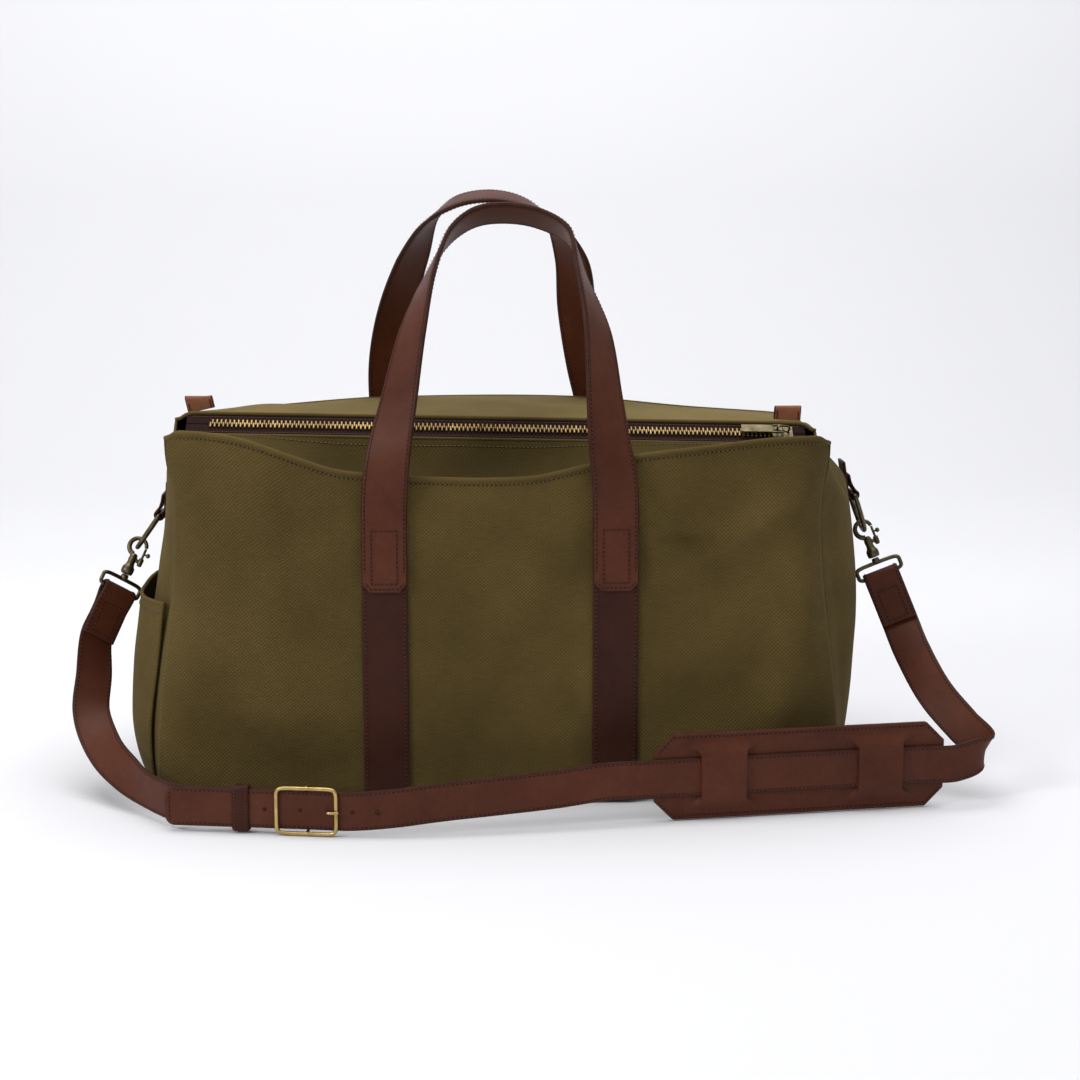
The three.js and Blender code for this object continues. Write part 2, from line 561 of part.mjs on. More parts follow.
function buckle() {
  const turn = (g) => closed(g.rotateZ(Math.atan(BUCKLE.heading)).translate(BUCKLE.x, BUCKLE.y, GROUND_Z));
  const halfH = STRAP_W / 2 + 2.4;
  const front = -(LEATHER / 2 + GAP + 1.5);
  const rim = wireLoop(roundedRect(22, halfH, 0.3), 1.5, 28, 7).rotateX(Math.PI / 2).translate(0, front, 0);
  const back = BUCKLE.barDepth;
  const posts = [1, -1].map((s) => rod(V(0, front, s * halfH), V(0, back + 1.2, s * halfH), 1.5, 10));
  const bar = rod(V(0, back, -halfH), V(0, back, halfH), BUCKLE.barR, 16);
  piece('buckle_frame', turn(joined(rim, ...posts, bar)), COLOUR.brass, 0.3, 1);
  // The prong: a collar on the centre bar, a shank through the billet's hole, a tongue to the outer bar.
  const collar = new THREE.Shape();
  collar.absarc(0, 0, 2.3, 0, 2 * Math.PI);
  collar.holes.push(new THREE.Path().absarc(0, 0, BUCKLE.barR + 0.07, 0, 2 * Math.PI));
  const ring = new THREE.ExtrudeGeometry(collar, { depth: 2.6, bevelEnabled: false, curveSegments: 16 });
  ring.translate(0, back, -1.3);
  const tongueY = front - 3.2;
  const shank = rod(V(2.2, back, 0), V(HOLES[2], back, 0), 1.1, 10);
  const riser = rod(V(HOLES[2], back + 0.8, 0), V(HOLES[2], tongueY - 0.8, 0), 1.1, 10);
  const tongue = rod(V(HOLES[2], tongueY, 0), V(24, tongueY, 0), 1.2, 10);
  piece('buckle_prong', turn(joined(ring, shank, riser, tongue)), COLOUR.brass, 0.3, 1);
  // A leather keeper around both layers.
  const x = -190;
  const layers = 2 * LEATHER + 3 * GAP + 0.6;
  const outer = new THREE.BoxGeometry(13, layers + 4, STRAP_W + 5.2);
  const inner = new THREE.BoxGeometry(20, layers + 0.6, STRAP_W + 1.4);
  const keeper = cut(outer, inner).rotateZ(Math.atan(BUCKLE.heading));
  keeper.translate(x, buckleY(x) + (LEATHER + 2 * GAP + 0.6) / 2, GROUND_Z);
  piece('strap_keeper', closed(keeper), COLOUR.dark, 0.6);
}

// ---- assembly -----------------------------------------------------------------------------------------
wallPanel('front_panel', -1, frontRim);
wallPanel('back_panel', 1, () => BACK_RIM);
endPanel('left_end_panel', -1);
endPanel('right_end_panel', 1);
basePanel();
topPanel('top_panel_front', -1);
topPanel('top_panel_rear', 1);
endPocket();
inside();
zipTape('zip_tape_front', -1);
zipTape('zip_tape_rear', 1);
zipSlider();
zipEndTab('zip_tab_left', ZIP.teethLeft - END_TAB.inset - 5);
zipEndTab('zip_tab_right', ZIP.teethRight - END_TAB.inset + 2);
handleSet('front', -1);
handleSet('rear', 1);
for (const [label, clip] of Object.entries(CLIP)) {
  ringTab(label, clip);
  dRing(label, clip);
  snapHook(label, clip);
}
strapShort();
strapLong();
shoulderPad();
buckle();

export default bag;
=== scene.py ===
"""Looks of a canvas weekender duffel bag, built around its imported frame. Metres, +Z up, front toward -Y."""

import json
import math

import bpy
import numpy as np
from mathutils import Matrix, Vector, noise

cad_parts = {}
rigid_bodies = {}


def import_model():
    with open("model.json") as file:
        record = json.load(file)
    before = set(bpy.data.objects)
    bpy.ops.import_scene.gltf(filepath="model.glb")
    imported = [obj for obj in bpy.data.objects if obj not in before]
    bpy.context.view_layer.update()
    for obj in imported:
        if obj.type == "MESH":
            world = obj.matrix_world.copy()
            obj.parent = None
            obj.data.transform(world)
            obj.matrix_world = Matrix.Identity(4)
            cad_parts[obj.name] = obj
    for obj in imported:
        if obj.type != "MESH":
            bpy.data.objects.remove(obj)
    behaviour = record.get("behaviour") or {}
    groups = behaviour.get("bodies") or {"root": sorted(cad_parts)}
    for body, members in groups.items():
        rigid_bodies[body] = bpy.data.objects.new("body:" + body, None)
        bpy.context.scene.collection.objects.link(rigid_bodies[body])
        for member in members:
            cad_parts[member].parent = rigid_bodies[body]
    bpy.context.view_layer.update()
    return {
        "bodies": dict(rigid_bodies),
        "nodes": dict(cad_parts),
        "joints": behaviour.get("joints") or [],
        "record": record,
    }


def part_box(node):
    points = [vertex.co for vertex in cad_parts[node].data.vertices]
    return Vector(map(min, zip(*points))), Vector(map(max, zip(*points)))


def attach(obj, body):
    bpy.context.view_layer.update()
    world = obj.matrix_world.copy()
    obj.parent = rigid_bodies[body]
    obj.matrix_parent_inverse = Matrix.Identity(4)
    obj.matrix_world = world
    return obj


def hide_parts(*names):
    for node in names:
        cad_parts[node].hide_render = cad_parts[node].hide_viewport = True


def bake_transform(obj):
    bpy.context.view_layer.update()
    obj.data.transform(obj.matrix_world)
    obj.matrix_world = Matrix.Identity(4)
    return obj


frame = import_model()

MM = 0.001

# ---- sizes taken from the frame -----------------------------------------------------------------------
BAG_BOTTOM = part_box("bottom_panel")
WALL_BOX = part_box("front_panel")
TOP_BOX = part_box("top_panel_rear")
TAPE_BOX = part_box("zip_tape_front")
STRIP_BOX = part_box("front_strip_right")
PATCH_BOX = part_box("front_handle_patch_right")
JOINTS = {joint["name"]: joint for joint in frame["joints"]}

SEAM_X = TOP_BOX[1].x - 2 * MM
SEAM_FLARE = WALL_BOX[1].x - SEAM_X
FRONT_Y = TOP_BOX[1].y
BELLY = 6 * MM
CORNER_PULL = 8 * MM
SEAM_TURN = 13 * MM
EAR = 5.5 * MM
RIM_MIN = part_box("top_panel_front")[0].z + 2.4 * MM
ZIP_Y = -0.036
ZIP_Z = 0.276
ZIP_SLOPE = -0.022
ZIP_TILT = 0.6
TAPE_HALF = 13 * MM
CHAIN = (-0.222, 0.229)
HANDLE_X = (PATCH_BOX[0].x + PATCH_BOX[1].x) / 2
HANDLE_W = PATCH_BOX[1].x - PATCH_BOX[0].x
STRAP_W = 29 * MM
LEATHER = 2.4 * MM
GAP = 0.4 * MM


# ---- small maths --------------------------------------------------------------------------------------
def clamp01(v):
    return min(1.0, max(0.0, v))


def smoothstep(v, low, high):
    t = clamp01((v - low) / (high - low))
    return t * t * (3 - 2 * t)


def lerp(a, b, t):
    return a + (b - a) * t


def curve_through(points, v):
    """A smooth curve y(v) through (v, y) points."""
    if v <= points[0][0]:
        return points[0][1]
    for i in range(len(points) - 1):
        (x1, y1), (x2, y2) = points[i], points[i + 1]
        if v <= x2:
            x0, y0 = points[max(i - 1, 0)]
            x3, y3 = points[min(i + 2, len(points) - 1)]
            t = (v - x1) / (x2 - x1)
            m1 = (y2 - y0) / max(x2 - x0, 1e-9) * (x2 - x1)
            m2 = (y3 - y1) / max(x3 - x1, 1e-9) * (x2 - x1)
            h = t * t * (3 - 2 * t)
            return y1 * (1 - h) + y2 * h + m1 * t * (1 - t) ** 2 - m2 * t * t * (1 - t)
    return points[-1][1]


class Spline:
    """A centripetal Catmull-Rom curve through 3-D points, asked by t in 0..1."""

    def __init__(self, points):
        self.points = [Vector(p) for p in points]

    def at(self, t):
        pts = self.points
        last = len(pts) - 1
        place = clamp01(t) * last
        i = min(int(place), last - 1)
        w = place - i
        p1, p2 = pts[i], pts[i + 1]
        p0 = pts[i - 1] if i > 0 else p1 * 2 - p2
        p3 = pts[i + 2] if i + 2 <= last else p2 * 2 - p1
        d0, d1, d2 = [max((b - a).length, 1e-9) ** 0.5 for a, b in ((p0, p1), (p1, p2), (p2, p3))]
        t1 = ((p1 - p0) / d0 - (p2 - p0) / (d0 + d1) + (p2 - p1) / d1) * d1
        t2 = ((p2 - p1) / d1 - (p3 - p1) / (d1 + d2) + (p3 - p2) / d2) * d1
        h = p1 * (2 * w**3 - 3 * w * w + 1) + p2 * (3 * w * w - 2 * w**3)
        return h + t1 * (w**3 - 2 * w * w + w) + t2 * (w**3 - w * w)

    def tangent(self, t):
        return (self.at(min(t + 1e-4, 1)) - self.at(max(t - 1e-4, 0))).normalized()


# ---- the bag's surface --------------------------------------------------------------------------------
def seam_x(z):
    return SEAM_X + SEAM_FLARE * (1 - smoothstep(z, 0.02, 0.21)) + EAR * smoothstep(z, 0.225, 0.272)


def wall_y(x, z):
    u = clamp01(abs(x) / seam_x(z))
    return FRONT_Y + BELLY * math.sin(math.pi * z / RIM_MIN) - CORNER_PULL * u**6


# Rim heights along the bag: the front edge sags between its two raised corners.
FRONT_RIM = [
    (-0.245, 0.284), (-0.215, 0.2835), (-0.183, 0.278), (-0.147, 0.265), (-0.117, 0.2555), (-0.06, 0.2505),
    (0.02, 0.250), (0.062, 0.2585), (0.1, 0.266), (0.147, 0.2715), (0.2, 0.2775), (0.245, 0.278),
]
BACK_EDGE = [
    (-0.245, 0.272), (-0.168, 0.279), (-0.09, 0.2845), (0.06, 0.2845), (0.165, 0.275), (0.245, 0.270),
]


def corner_drop(x):
    """How far the upper corners of the bag fall away at its two ends."""
    return 5.5 * MM * smoothstep(abs(x), 0.235, SEAM_X + EAR) ** 1.5


def front_rim(x):
    return curve_through(FRONT_RIM, x)


def back_rim(x):
    return curve_through(BACK_EDGE, x)


def zip_z(x):
    return ZIP_Z + ZIP_SLOPE * x


def on_zip(x, across, rise):
    """A point off the zip's line: across runs over the tapes to the rear, rise is square to them."""
    c, s = math.cos(ZIP_TILT), math.sin(ZIP_TILT)
    return Vector((x, ZIP_Y + across * c - rise * s, zip_z(x) + across * s + rise * c))


def end_bulge(side, z):
    size, lean = (0.022, 0.56) if side < 0 else (0.036, 1.4)
    t = clamp01(z / 0.285)
    return size * max(0.0, math.sin(math.pi * t**lean)) ** 0.6 + 3 * MM


def seam_y(z):
    """Where a wall's turned-in side edge meets the end panel."""
    return wall_y(seam_x(z), z) - SEAM_TURN


def end_x(side, y, z):
    u = clamp01(abs(y) / (seam_y(z) + 0.5 * MM))
    return seam_x(z) - 0.8 * MM + end_bulge(side, z) * (1 - u**2.6)


# Soft folds of the front wall: (x0, z0, x1, z1, half width, depth).
FOLDS = [
    (-0.24, 0.255, -0.12, 0.13, 0.022, -2.6 * MM), (-0.22, 0.17, -0.14, 0.05, 0.026, 2.2 * MM),
    (-0.18, 0.27, -0.165, 0.15, 0.018, 2.0 * MM), (-0.05, 0.235, 0.03, 0.12, 0.026, -2.4 * MM),
    (0.05, 0.21, -0.03, 0.07, 0.024, 2.0 * MM), (0.11, 0.25, 0.2, 0.14, 0.020, -3.0 * MM),
    (0.235, 0.235, 0.14, 0.18, 0.014, 2.4 * MM), (0.24, 0.13, 0.13, 0.06, 0.026, -2.4 * MM),
    (0.125, 0.2, 0.165, 0.197, 0.006, -1.6 * MM), (0.245, 0.2, 0.2, 0.03, 0.018, 2.2 * MM),
    (-0.25, 0.06, -0.12, 0.03, 0.02, -2.0 * MM), (0.02, 0.05, 0.2, 0.03, 0.02, 1.6 * MM),
]


def fold_depth(x, z):
    total = 0.0
    for x0, z0, x1, z1, width, depth in FOLDS:
        dx, dz = x1 - x0, z1 - z0
        length2 = dx * dx + dz * dz
        t = clamp01(((x - x0) * dx + (z - z0) * dz) / length2)
        away = math.hypot(x - x0 - t * dx, z - z0 - t * dz)
        total += 3.0 * depth * math.exp(-((away / width) ** 2)) * math.sin(math.pi * (0.12 + 0.76 * t))
    return total


def cloth_noise(p, seed):
    shifted = Vector((p[0] + seed, p[1] * 0.8 + 2 * seed, p[2]))
    return noise.noise(shifted * 9) * 3.4 * MM + noise.noise(shifted * 23) * 1.5 * MM


def under_strip(x):
    """0 beneath the stitched leather strips, where the cloth is held flat, and 1 away from them."""
    return smoothstep(abs(abs(x) - HANDLE_X), HANDLE_W / 2 - 2 * MM, HANDLE_W / 2 + 16 * MM)


# ---- mesh making --------------------------------------------------------------------------------------
def put(name, data):
    """A new object in the scene that holds this data."""
    piece = bpy.data.objects.new(name, data)
    bpy.context.scene.collection.objects.link(piece)
    return piece


def new_object(name, verts, faces, materials, smooth=True, face_material=None, uvs=None):
    mesh = bpy.data.meshes.new(name)
    mesh.from_pydata([tuple(v) for v in verts], [], faces)
    for material in materials:
        mesh.materials.append(material)
    mesh.polygons.foreach_set("use_smooth", [smooth] * len(mesh.polygons))
    if face_material is not None:
        mesh.polygons.foreach_set("material_index", face_material)
    if uvs is not None:
        layer = mesh.uv_layers.new(name="cloth")
        flat = np.array([uvs[loop.vertex_index] for loop in mesh.loops], np.float32).ravel()
        layer.data.foreach_set("uv", flat)
    mesh.update()
    return put(name, mesh)


def grid_faces(columns, rows, offset=0, flip=False):
    faces = []
    for j in range(rows - 1):
        for i in range(columns - 1):
            a = offset + j * columns + i
            quad = (a, a + 1, a + columns + 1, a + columns)
            faces.append(quad[::-1] if flip else quad)
    return faces


def thicken(piece, thickness):
    solid = piece.modifiers.new("thickness", "SOLIDIFY")
    solid.thickness = thickness
    solid.offset = -1


def cloth_panel(name, columns, rows, place, material, thickness=1.6 * MM, flip=False, uv_scale=(1, 1)):
    """A cloth sheet from place(u, v) with u, v in 0..1; its uv holds millimetres along the cloth."""
    verts = []
    uvs = []
    for j in range(rows):
        for i in range(columns):
            u, v = i / (columns - 1), j / (rows - 1)
            verts.append(place(u, v))
            uvs.append((u * uv_scale[0] / MM, v * uv_scale[1] / MM))
    piece = new_object(name, verts, grid_faces(columns, rows, flip=flip), [material], uvs=uvs)
    thicken(piece, thickness)
    return piece


def ring_faces(rings, sides):
    """Quads between rings of points, and a cap over each end."""
    faces = []
    for i in range(rings - 1):
        for k in range(sides):
            a, b = i * sides + k, i * sides + (k + 1) % sides
            faces.append((a, b, b + sides, a + sides))
    faces.append(tuple(range(sides))[::-1])
    faces.append(tuple(range((rings - 1) * sides, rings * sides)))
    return faces


def band_profile(width, thickness, crown):
    """Points (across, out) round a leather band: flat faces and rounded edges."""
    half, t = width / 2, thickness / 2
    r = min(t, 1.1 * MM)
    corner = [math.radians(a) for a in (90, 60, 30, 0)]
    points = [(0.0, t + crown), (half * 0.6, t + crown * 0.7), (half - 2.5 * r, t)]
    points += [(half - r + r * math.cos(a), t - r + r * math.sin(a)) for a in corner]
    points += [(half - r + r * math.cos(a), -t + r - r * math.sin(a)) for a in reversed(corner)]
    points += [(half - 2.5 * r, -t), (half * 0.6, -t), (0.0, -t)]
    mirror = [(-x, y) for x, y in points[1:-1]][::-1]
    return points + mirror


def sweep_band(name, frames, width, thickness, materials, crown=0.25 * MM, width_at=None):
    """A leather band swept along frames [(point, across, out)]; face sides take material 0, edges 1."""
    profile = band_profile(width, thickness, crown)
    count = len(profile)
    verts = []
    for k, (p, across, out) in enumerate(frames):
        scale = width_at(k / (len(frames) - 1)) if width_at else 1.0
        for x, y in profile:
            verts.append(p + across * (x * scale) + out * y)
    middles = [(profile[i][0] + profile[(i + 1) % count][0]) / 2 for i in range(count)]
    row = [1 if abs(middle) > width / 2 - 1.2 * MM else 0 for middle in middles]
    side = row * (len(frames) - 1) + [1, 1]
    return new_object(name, verts, ring_faces(len(frames), count), materials, face_material=side)


def ribbon_frames(stations, count, start=0.0, end=1.0):
    """Frames along stations (x, y, z, wx, wy, wz) in millimetres."""
    spine = Spline([Vector(s[:3]) * MM for s in stations])
    turn = Spline([Vector(s[3:]) for s in stations])
    frames = []
    for k in range(count):
        t = lerp(start, end, k / (count - 1))
        tangent = spine.tangent(t)
        across = turn.at(t)
        across = (across - tangent * across.dot(tangent)).normalized()
        frames.append((spine.at(t), across, tangent.cross(across)))
    return even_frames(frames)


def even_frames(frames):
    """The same frames spaced evenly along their length."""
    lengths = [0.0]
    for a, b in zip(frames, frames[1:]):
        lengths.append(lengths[-1] + (b[0] - a[0]).length)
    total = lengths[-1]
    out = []
    j = 0
    for k in range(len(frames)):
        want = total * k / (len(frames) - 1)
        while j < len(frames) - 2 and lengths[j + 1] < want:
            j += 1
        t = clamp01((want - lengths[j]) / max(lengths[j + 1] - lengths[j], 1e-12))
        a, b = frames[j], frames[j + 1]
        out.append((a[0].lerp(b[0], t), a[1].lerp(b[1], t).normalized(), a[2].lerp(b[2], t).normalized()))
    return out


def path_length(points):
    return sum((b - a).length for a, b in zip(points, points[1:]))


# One stitch in shares of its length and width: tapered ends, a rounded back, and the outline of the groove's
# painted shade.
STITCH_SHAPE = (
    (-1, 0, -0.25), (-0.55, 1, 0.1), (-0.55, -1, 0.1), (-0.5, 0, 0.62),
    (0.5, 0, 0.62), (0.55, 1, 0.1), (0.55, -1, 0.1), (1, 0, -0.25),
)
STITCH_FACES = ((0, 3, 1), (0, 2, 3), (1, 3, 4, 5), (2, 6, 4, 3), (5, 4, 7), (6, 7, 4))
GROOVE_SHAPE = ((-0.5, 0), (-0.36, -0.62), (0.36, -0.62), (0.5, 0), (0.36, 0.62), (-0.36, 0.62))


def stitches(name, lines, material, pitch=3.3 * MM, length=2.3 * MM, width=0.85 * MM):
    """Thread stitches along lines of (point, out), each on a flat dark patch that is painted shade of the
    groove it pulls into the leather.
    """
    verts, faces, kinds = [], [], []
    for line in lines:
        total = path_length([p for p, _ in line])
        count = int(total / pitch)
        if count < 1:
            continue
        walked, j = 0.0, 0
        for k in range(count):
            want = (k + 0.5) * total / count
            while j < len(line) - 2 and walked + (line[j + 1][0] - line[j][0]).length < want:
                walked += (line[j + 1][0] - line[j][0]).length
                j += 1
            a, b = line[j], line[j + 1]
            step = (b[0] - a[0]).length
            t = clamp01((want - walked) / max(step, 1e-12))
            p = a[0].lerp(b[0], t)
            along = (b[0] - a[0]).normalized()
            out = a[1].lerp(b[1], t).normalized()
            aside = along.cross(out)
            base = len(verts)
            half = length / 2
            for s, w, h in STITCH_SHAPE:
                verts.append(p + along * (s * half) + aside * (w * width / 2) + out * (h * width))
            faces += [tuple(base + i for i in f) for f in STITCH_FACES]
            # The groove: a flat dark patch just above the surface, painted shade where the thread pulls in.
            base = len(verts)
            for s, w in GROOVE_SHAPE:
                verts.append(p + along * (s * pitch * 1.02) + aside * (w * width) + out * (0.06 * MM))
            faces.append(tuple(base + i for i in range(6)))
            kinds += [0] * 6 + [1]
    return new_object(name, verts, faces, [material, GROOVE_SHADE], face_material=kinds)


def sewn(name, lines, body="bag", slot="leather", thread=None, **options):
    """Stitching that rides with the piece it closes."""
    return finished(stitches(name, lines, thread or THREAD_DARK, **options), body, slot)


def tube(name, points, radius, material, closed=False, sides=12):
    """A round wire through points, with its frame carried along without twist."""
    pts = [Vector(p) for p in points]
    n = len(pts)
    verts = []
    normal = None
    for i, p in enumerate(pts):
        if closed:
            tangent = (pts[(i + 1) % n] - pts[i - 1]).normalized()
        else:
            tangent = (pts[min(i + 1, n - 1)] - pts[max(i - 1, 0)]).normalized()
        if normal is None:
            normal = tangent.orthogonal().normalized()
        normal = (normal - tangent * normal.dot(tangent)).normalized()
        other = tangent.cross(normal)
        r = radius(i / (n - 1)) if callable(radius) else radius
        for k in range(sides):
            a = 2 * math.pi * k / sides
            verts.append(p + normal * (r * math.cos(a)) + other * (r * math.sin(a)))
    faces = ring_faces(n, sides)
    if closed:
        # The last ring joins the first, turned by as much as the carried frame has turned on the way.
        base = (n - 1) * sides
        first = verts[0] - pts[0]
        shift = min(range(sides), key=lambda k: (verts[base + k] - pts[-1] - first).length)
        closing = [(base + (k + shift) % sides, base + (k + shift + 1) % sides, (k + 1) % sides, k)
                   for k in range(sides)]
        faces = faces[:-2] + closing
    return new_object(name, verts, faces, [material])


def lathe(name, profile, place, material, sides=24):
    """Turns (radius, height) points about local Z and puts them through place."""
    verts = []
    for r, z in profile:
        for k in range(sides):
            a = 2 * math.pi * k / sides
            verts.append(place @ Vector((r * math.cos(a), r * math.sin(a), z)))
    return new_object(name, verts, ring_faces(len(profile), sides), [material])


def joined(name, pieces):
    """One object out of several."""
    for piece in bpy.context.selected_objects:
        piece.select_set(False)
    for piece in pieces:
        piece.select_set(True)
    bpy.context.view_layer.objects.active = pieces[0]
    if len(pieces) > 1:
        bpy.ops.object.join()
    pieces[0].name = name
    pieces[0].select_set(False)
    return pieces[0]


def finished(piece, body, slot, *nodes):
    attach(piece, body)
    if nodes:
        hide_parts(*nodes)
    return piece


# ---- materials ----------------------------------------------------------------------------------------
class Nodes:
    """A short way to build a material's node tree."""

    def __init__(self, name):
        self.material = bpy.data.materials.new(name)
        self.material.use_nodes = True
        self.tree = self.material.node_tree
        self.shader = self.tree.nodes["Principled BSDF"]

    def add(self, kind, **values):
        node = self.tree.nodes.new(kind)
        for key, value in values.items():
            if hasattr(node, key):
                setattr(node, key, value)
            else:
                node.inputs[key.replace("_", " ").title()].default_value = value
        return node

    def link(self, a, b):
        self.tree.links.new(a, b)

    def math(self, operation, a, b=None, c=None):
        node = self.add("ShaderNodeMath", operation=operation)
        for i, value in enumerate((a, b, c)):
            if value is None:
                continue
            if isinstance(value, (int, float)):
                node.inputs[i].default_value = value
            else:
                self.link(value, node.inputs[i])
        return node.outputs[0]

    def noise(self, scale, detail=3.0, roughness=0.5, vector=None):
        node = self.add("ShaderNodeTexNoise", scale=scale, detail=detail, roughness=roughness)
        if vector is not None:
            self.link(vector, node.inputs["Vector"])
        return node.outputs["Fac"]

    def ramp(self, factor, stops):
        node = self.add("ShaderNodeValToRGB")
        elements = node.color_ramp.elements
        while len(elements) < len(stops):
            elements.new(0.5)
        for element, (position, colour) in zip(elements, stops):
            element.position = position
            element.color = (*colour, 1)
        self.link(factor, node.inputs["Fac"])
        return node.outputs["Color"]

    def mix(self, factor, a, b, blend="MIX"):
        node = self.add("ShaderNodeMix", data_type="RGBA", blend_type=blend)
        if isinstance(factor, (int, float)):
            node.inputs["Factor"].default_value = factor
        else:
            self.link(factor, node.inputs["Factor"])
        for socket, value in ((node.inputs[6], a), (node.inputs[7], b)):
            if isinstance(value, tuple):
                socket.default_value = (*value, 1)
            else:
                self.link(value, socket)
        return node.outputs[2]

    def bump(self, height, distance, strength=1.0, normal=None):
        node = self.add("ShaderNodeBump", strength=strength, distance=distance)
        self.link(height, node.inputs["Height"])
        if normal is not None:
            self.link(normal, node.inputs["Normal"])
        return node.outputs["Normal"]

    def shade(self, **values):
        """Set or link the shader's inputs, named with _ for each space."""
        for name, value in values.items():
            socket = self.shader.inputs[name.replace("_", " ")]
            if isinstance(value, bpy.types.NodeSocket):
                self.link(value, socket)
            else:
                socket.default_value = value

    def position(self):
        return self.add("ShaderNodeTexCoord").outputs["Object"]


def canvas_material(name, light, dark, thread_mm=1.45):
    """Plain weave from the cloth's own millimetres, with slubs, random darker and lighter blotches, a soft
    bloom, and painted shade in the weave's low places.
    """
    n = Nodes(name)
    uv = n.add("ShaderNodeUVMap", uv_map="cloth").outputs["UV"]
    wobble = n.add("ShaderNodeTexNoise", scale=0.05)
    n.link(uv, wobble.inputs["Vector"])
    shift = n.add("ShaderNodeVectorMath", operation="MULTIPLY_ADD")
    n.link(wobble.outputs["Color"], shift.inputs[0])
    shift.inputs[1].default_value = (2.2, 2.2, 0)
    n.link(uv, shift.inputs[2])
    parts = n.add("ShaderNodeSeparateXYZ")
    n.link(shift.outputs["Vector"], parts.inputs[0])
    turns = math.pi / thread_mm
    across = n.math("SINE", n.math("MULTIPLY", parts.outputs["X"], turns))
    along = n.math("SINE", n.math("MULTIPLY", parts.outputs["Y"], turns))
    check = n.math("MULTIPLY", across, along)
    warp = n.math("ABSOLUTE", across)
    weft = n.math("ABSOLUTE", along)
    over = n.math("MULTIPLY_ADD", check, 0.5, 0.5)
    under = n.math("SUBTRACT", 1.0, over)
    crossing = n.math("ADD", n.math("MULTIPLY", warp, over), n.math("MULTIPLY", weft, under))
    height = n.math("MULTIPLY_ADD", crossing, 0.35, n.math("MULTIPLY", over, 0.65))
    where = n.position()
    blotch = n.noise(9, 4, 0.6, where)
    slub = n.add("ShaderNodeTexNoise", scale=0.9)
    stretch = n.add("ShaderNodeMapping", scale=(0.12, 1.0, 1.0))
    n.link(uv, stretch.inputs["Vector"])
    n.link(stretch.outputs["Vector"], slub.inputs["Vector"])
    base = n.ramp(blotch, [(0.3, dark), (0.72, light)])
    # Painted shade: the weave's low places darken towards 0.3 of the dark colour, as if shaded between the
    # yarns.
    threads_gap_shade = n.mix(n.math("POWER", height, 0.75), tuple(c * 0.3 for c in dark), base)
    streaks = n.ramp(slub.outputs["Fac"], [(0.35, (0.3, 0.3, 0.3)), (0.7, (0.75, 0.75, 0.75))])
    streaked = n.mix(0.16, threads_gap_shade, streaks, "OVERLAY")
    n.shade(Base_Color=streaked, Roughness=0.92, Specular_IOR_Level=0.08)
    n.shade(Sheen_Weight=0.06, Sheen_Roughness=0.45, Sheen_Tint=(0.8, 0.66, 0.36, 1))
    fuzz = n.bump(n.noise(900, 2, 0.5, where), 0.15 * MM, 0.5)
    n.shade(Normal=n.bump(height, 0.42 * MM, 0.9, fuzz))
    return n.material


def leather_material(name, light, dark, roughness=0.5, grain=1.0):
    """Smooth hide: pores, faint creases, cloudy dye and uneven gloss."""
    n = Nodes(name)
    where = n.position()
    cloud = n.noise(14, 5, 0.62, where)
    colour = n.ramp(cloud, [(0.28, dark), (0.74, light)])
    fine = n.noise(240, 3, 0.6, where)
    speckle = n.ramp(fine, [(0.35, (0.32, 0.32, 0.32)), (0.7, (0.66, 0.66, 0.66))])
    colour = n.mix(0.22, colour, speckle, "OVERLAY")
    gloss = n.math("MULTIPLY_ADD", n.noise(30, 4, 0.6, where), 0.3, roughness - 0.15)
    n.shade(Base_Color=colour, Roughness=gloss, Specular_IOR_Level=0.17)
    cells = n.add("ShaderNodeTexVoronoi", feature="DISTANCE_TO_EDGE", scale=900)
    n.link(where, cells.inputs["Vector"])
    crease = n.noise(70, 6, 0.7, where)
    first = n.bump(n.math("MINIMUM", cells.outputs["Distance"], 0.12), 0.3 * MM * grain, 0.45)
    n.shade(Normal=n.bump(crease, 0.35 * MM * grain, 0.45, first))
    return n.material


def edge_material(name, colour):
    """A burnished, waxed leather edge."""
    n = Nodes(name)
    shade = n.noise(120, 3, 0.5, n.position())
    shades = n.ramp(shade, [(0.3, tuple(c * 0.6 for c in colour)), (0.7, colour)])
    n.shade(Base_Color=shades, Roughness=0.5, Specular_IOR_Level=0.14, Normal=n.bump(shade, 0.2 * MM, 0.5))
    return n.material


def thread_material(name, colour):
    n = Nodes(name)
    twist = n.noise(2600, 1, 0.5, n.position())
    plies = n.ramp(twist, [(0.3, tuple(c * 0.6 for c in colour)), (0.7, colour)])
    n.shade(Base_Color=plies, Roughness=0.8, Specular_IOR_Level=0.1)
    return n.material


def metal_material(name, light, dark, roughness):
    """Worn plated metal: dark patina in patches, brighter where it rubs, fine scratches."""
    n = Nodes(name)
    where = n.position()
    patina = n.noise(90, 5, 0.65, where)
    scratch = n.noise(700, 4, 0.6, where)
    n.shade(Base_Color=n.ramp(patina, [(0.34, dark), (0.66, light)]), Metallic=1.0)
    gloss = n.math("MULTIPLY_ADD", scratch, 0.24, roughness - 0.1)
    n.shade(Roughness=gloss, Normal=n.bump(scratch, 0.06 * MM, 0.4))
    return n.material


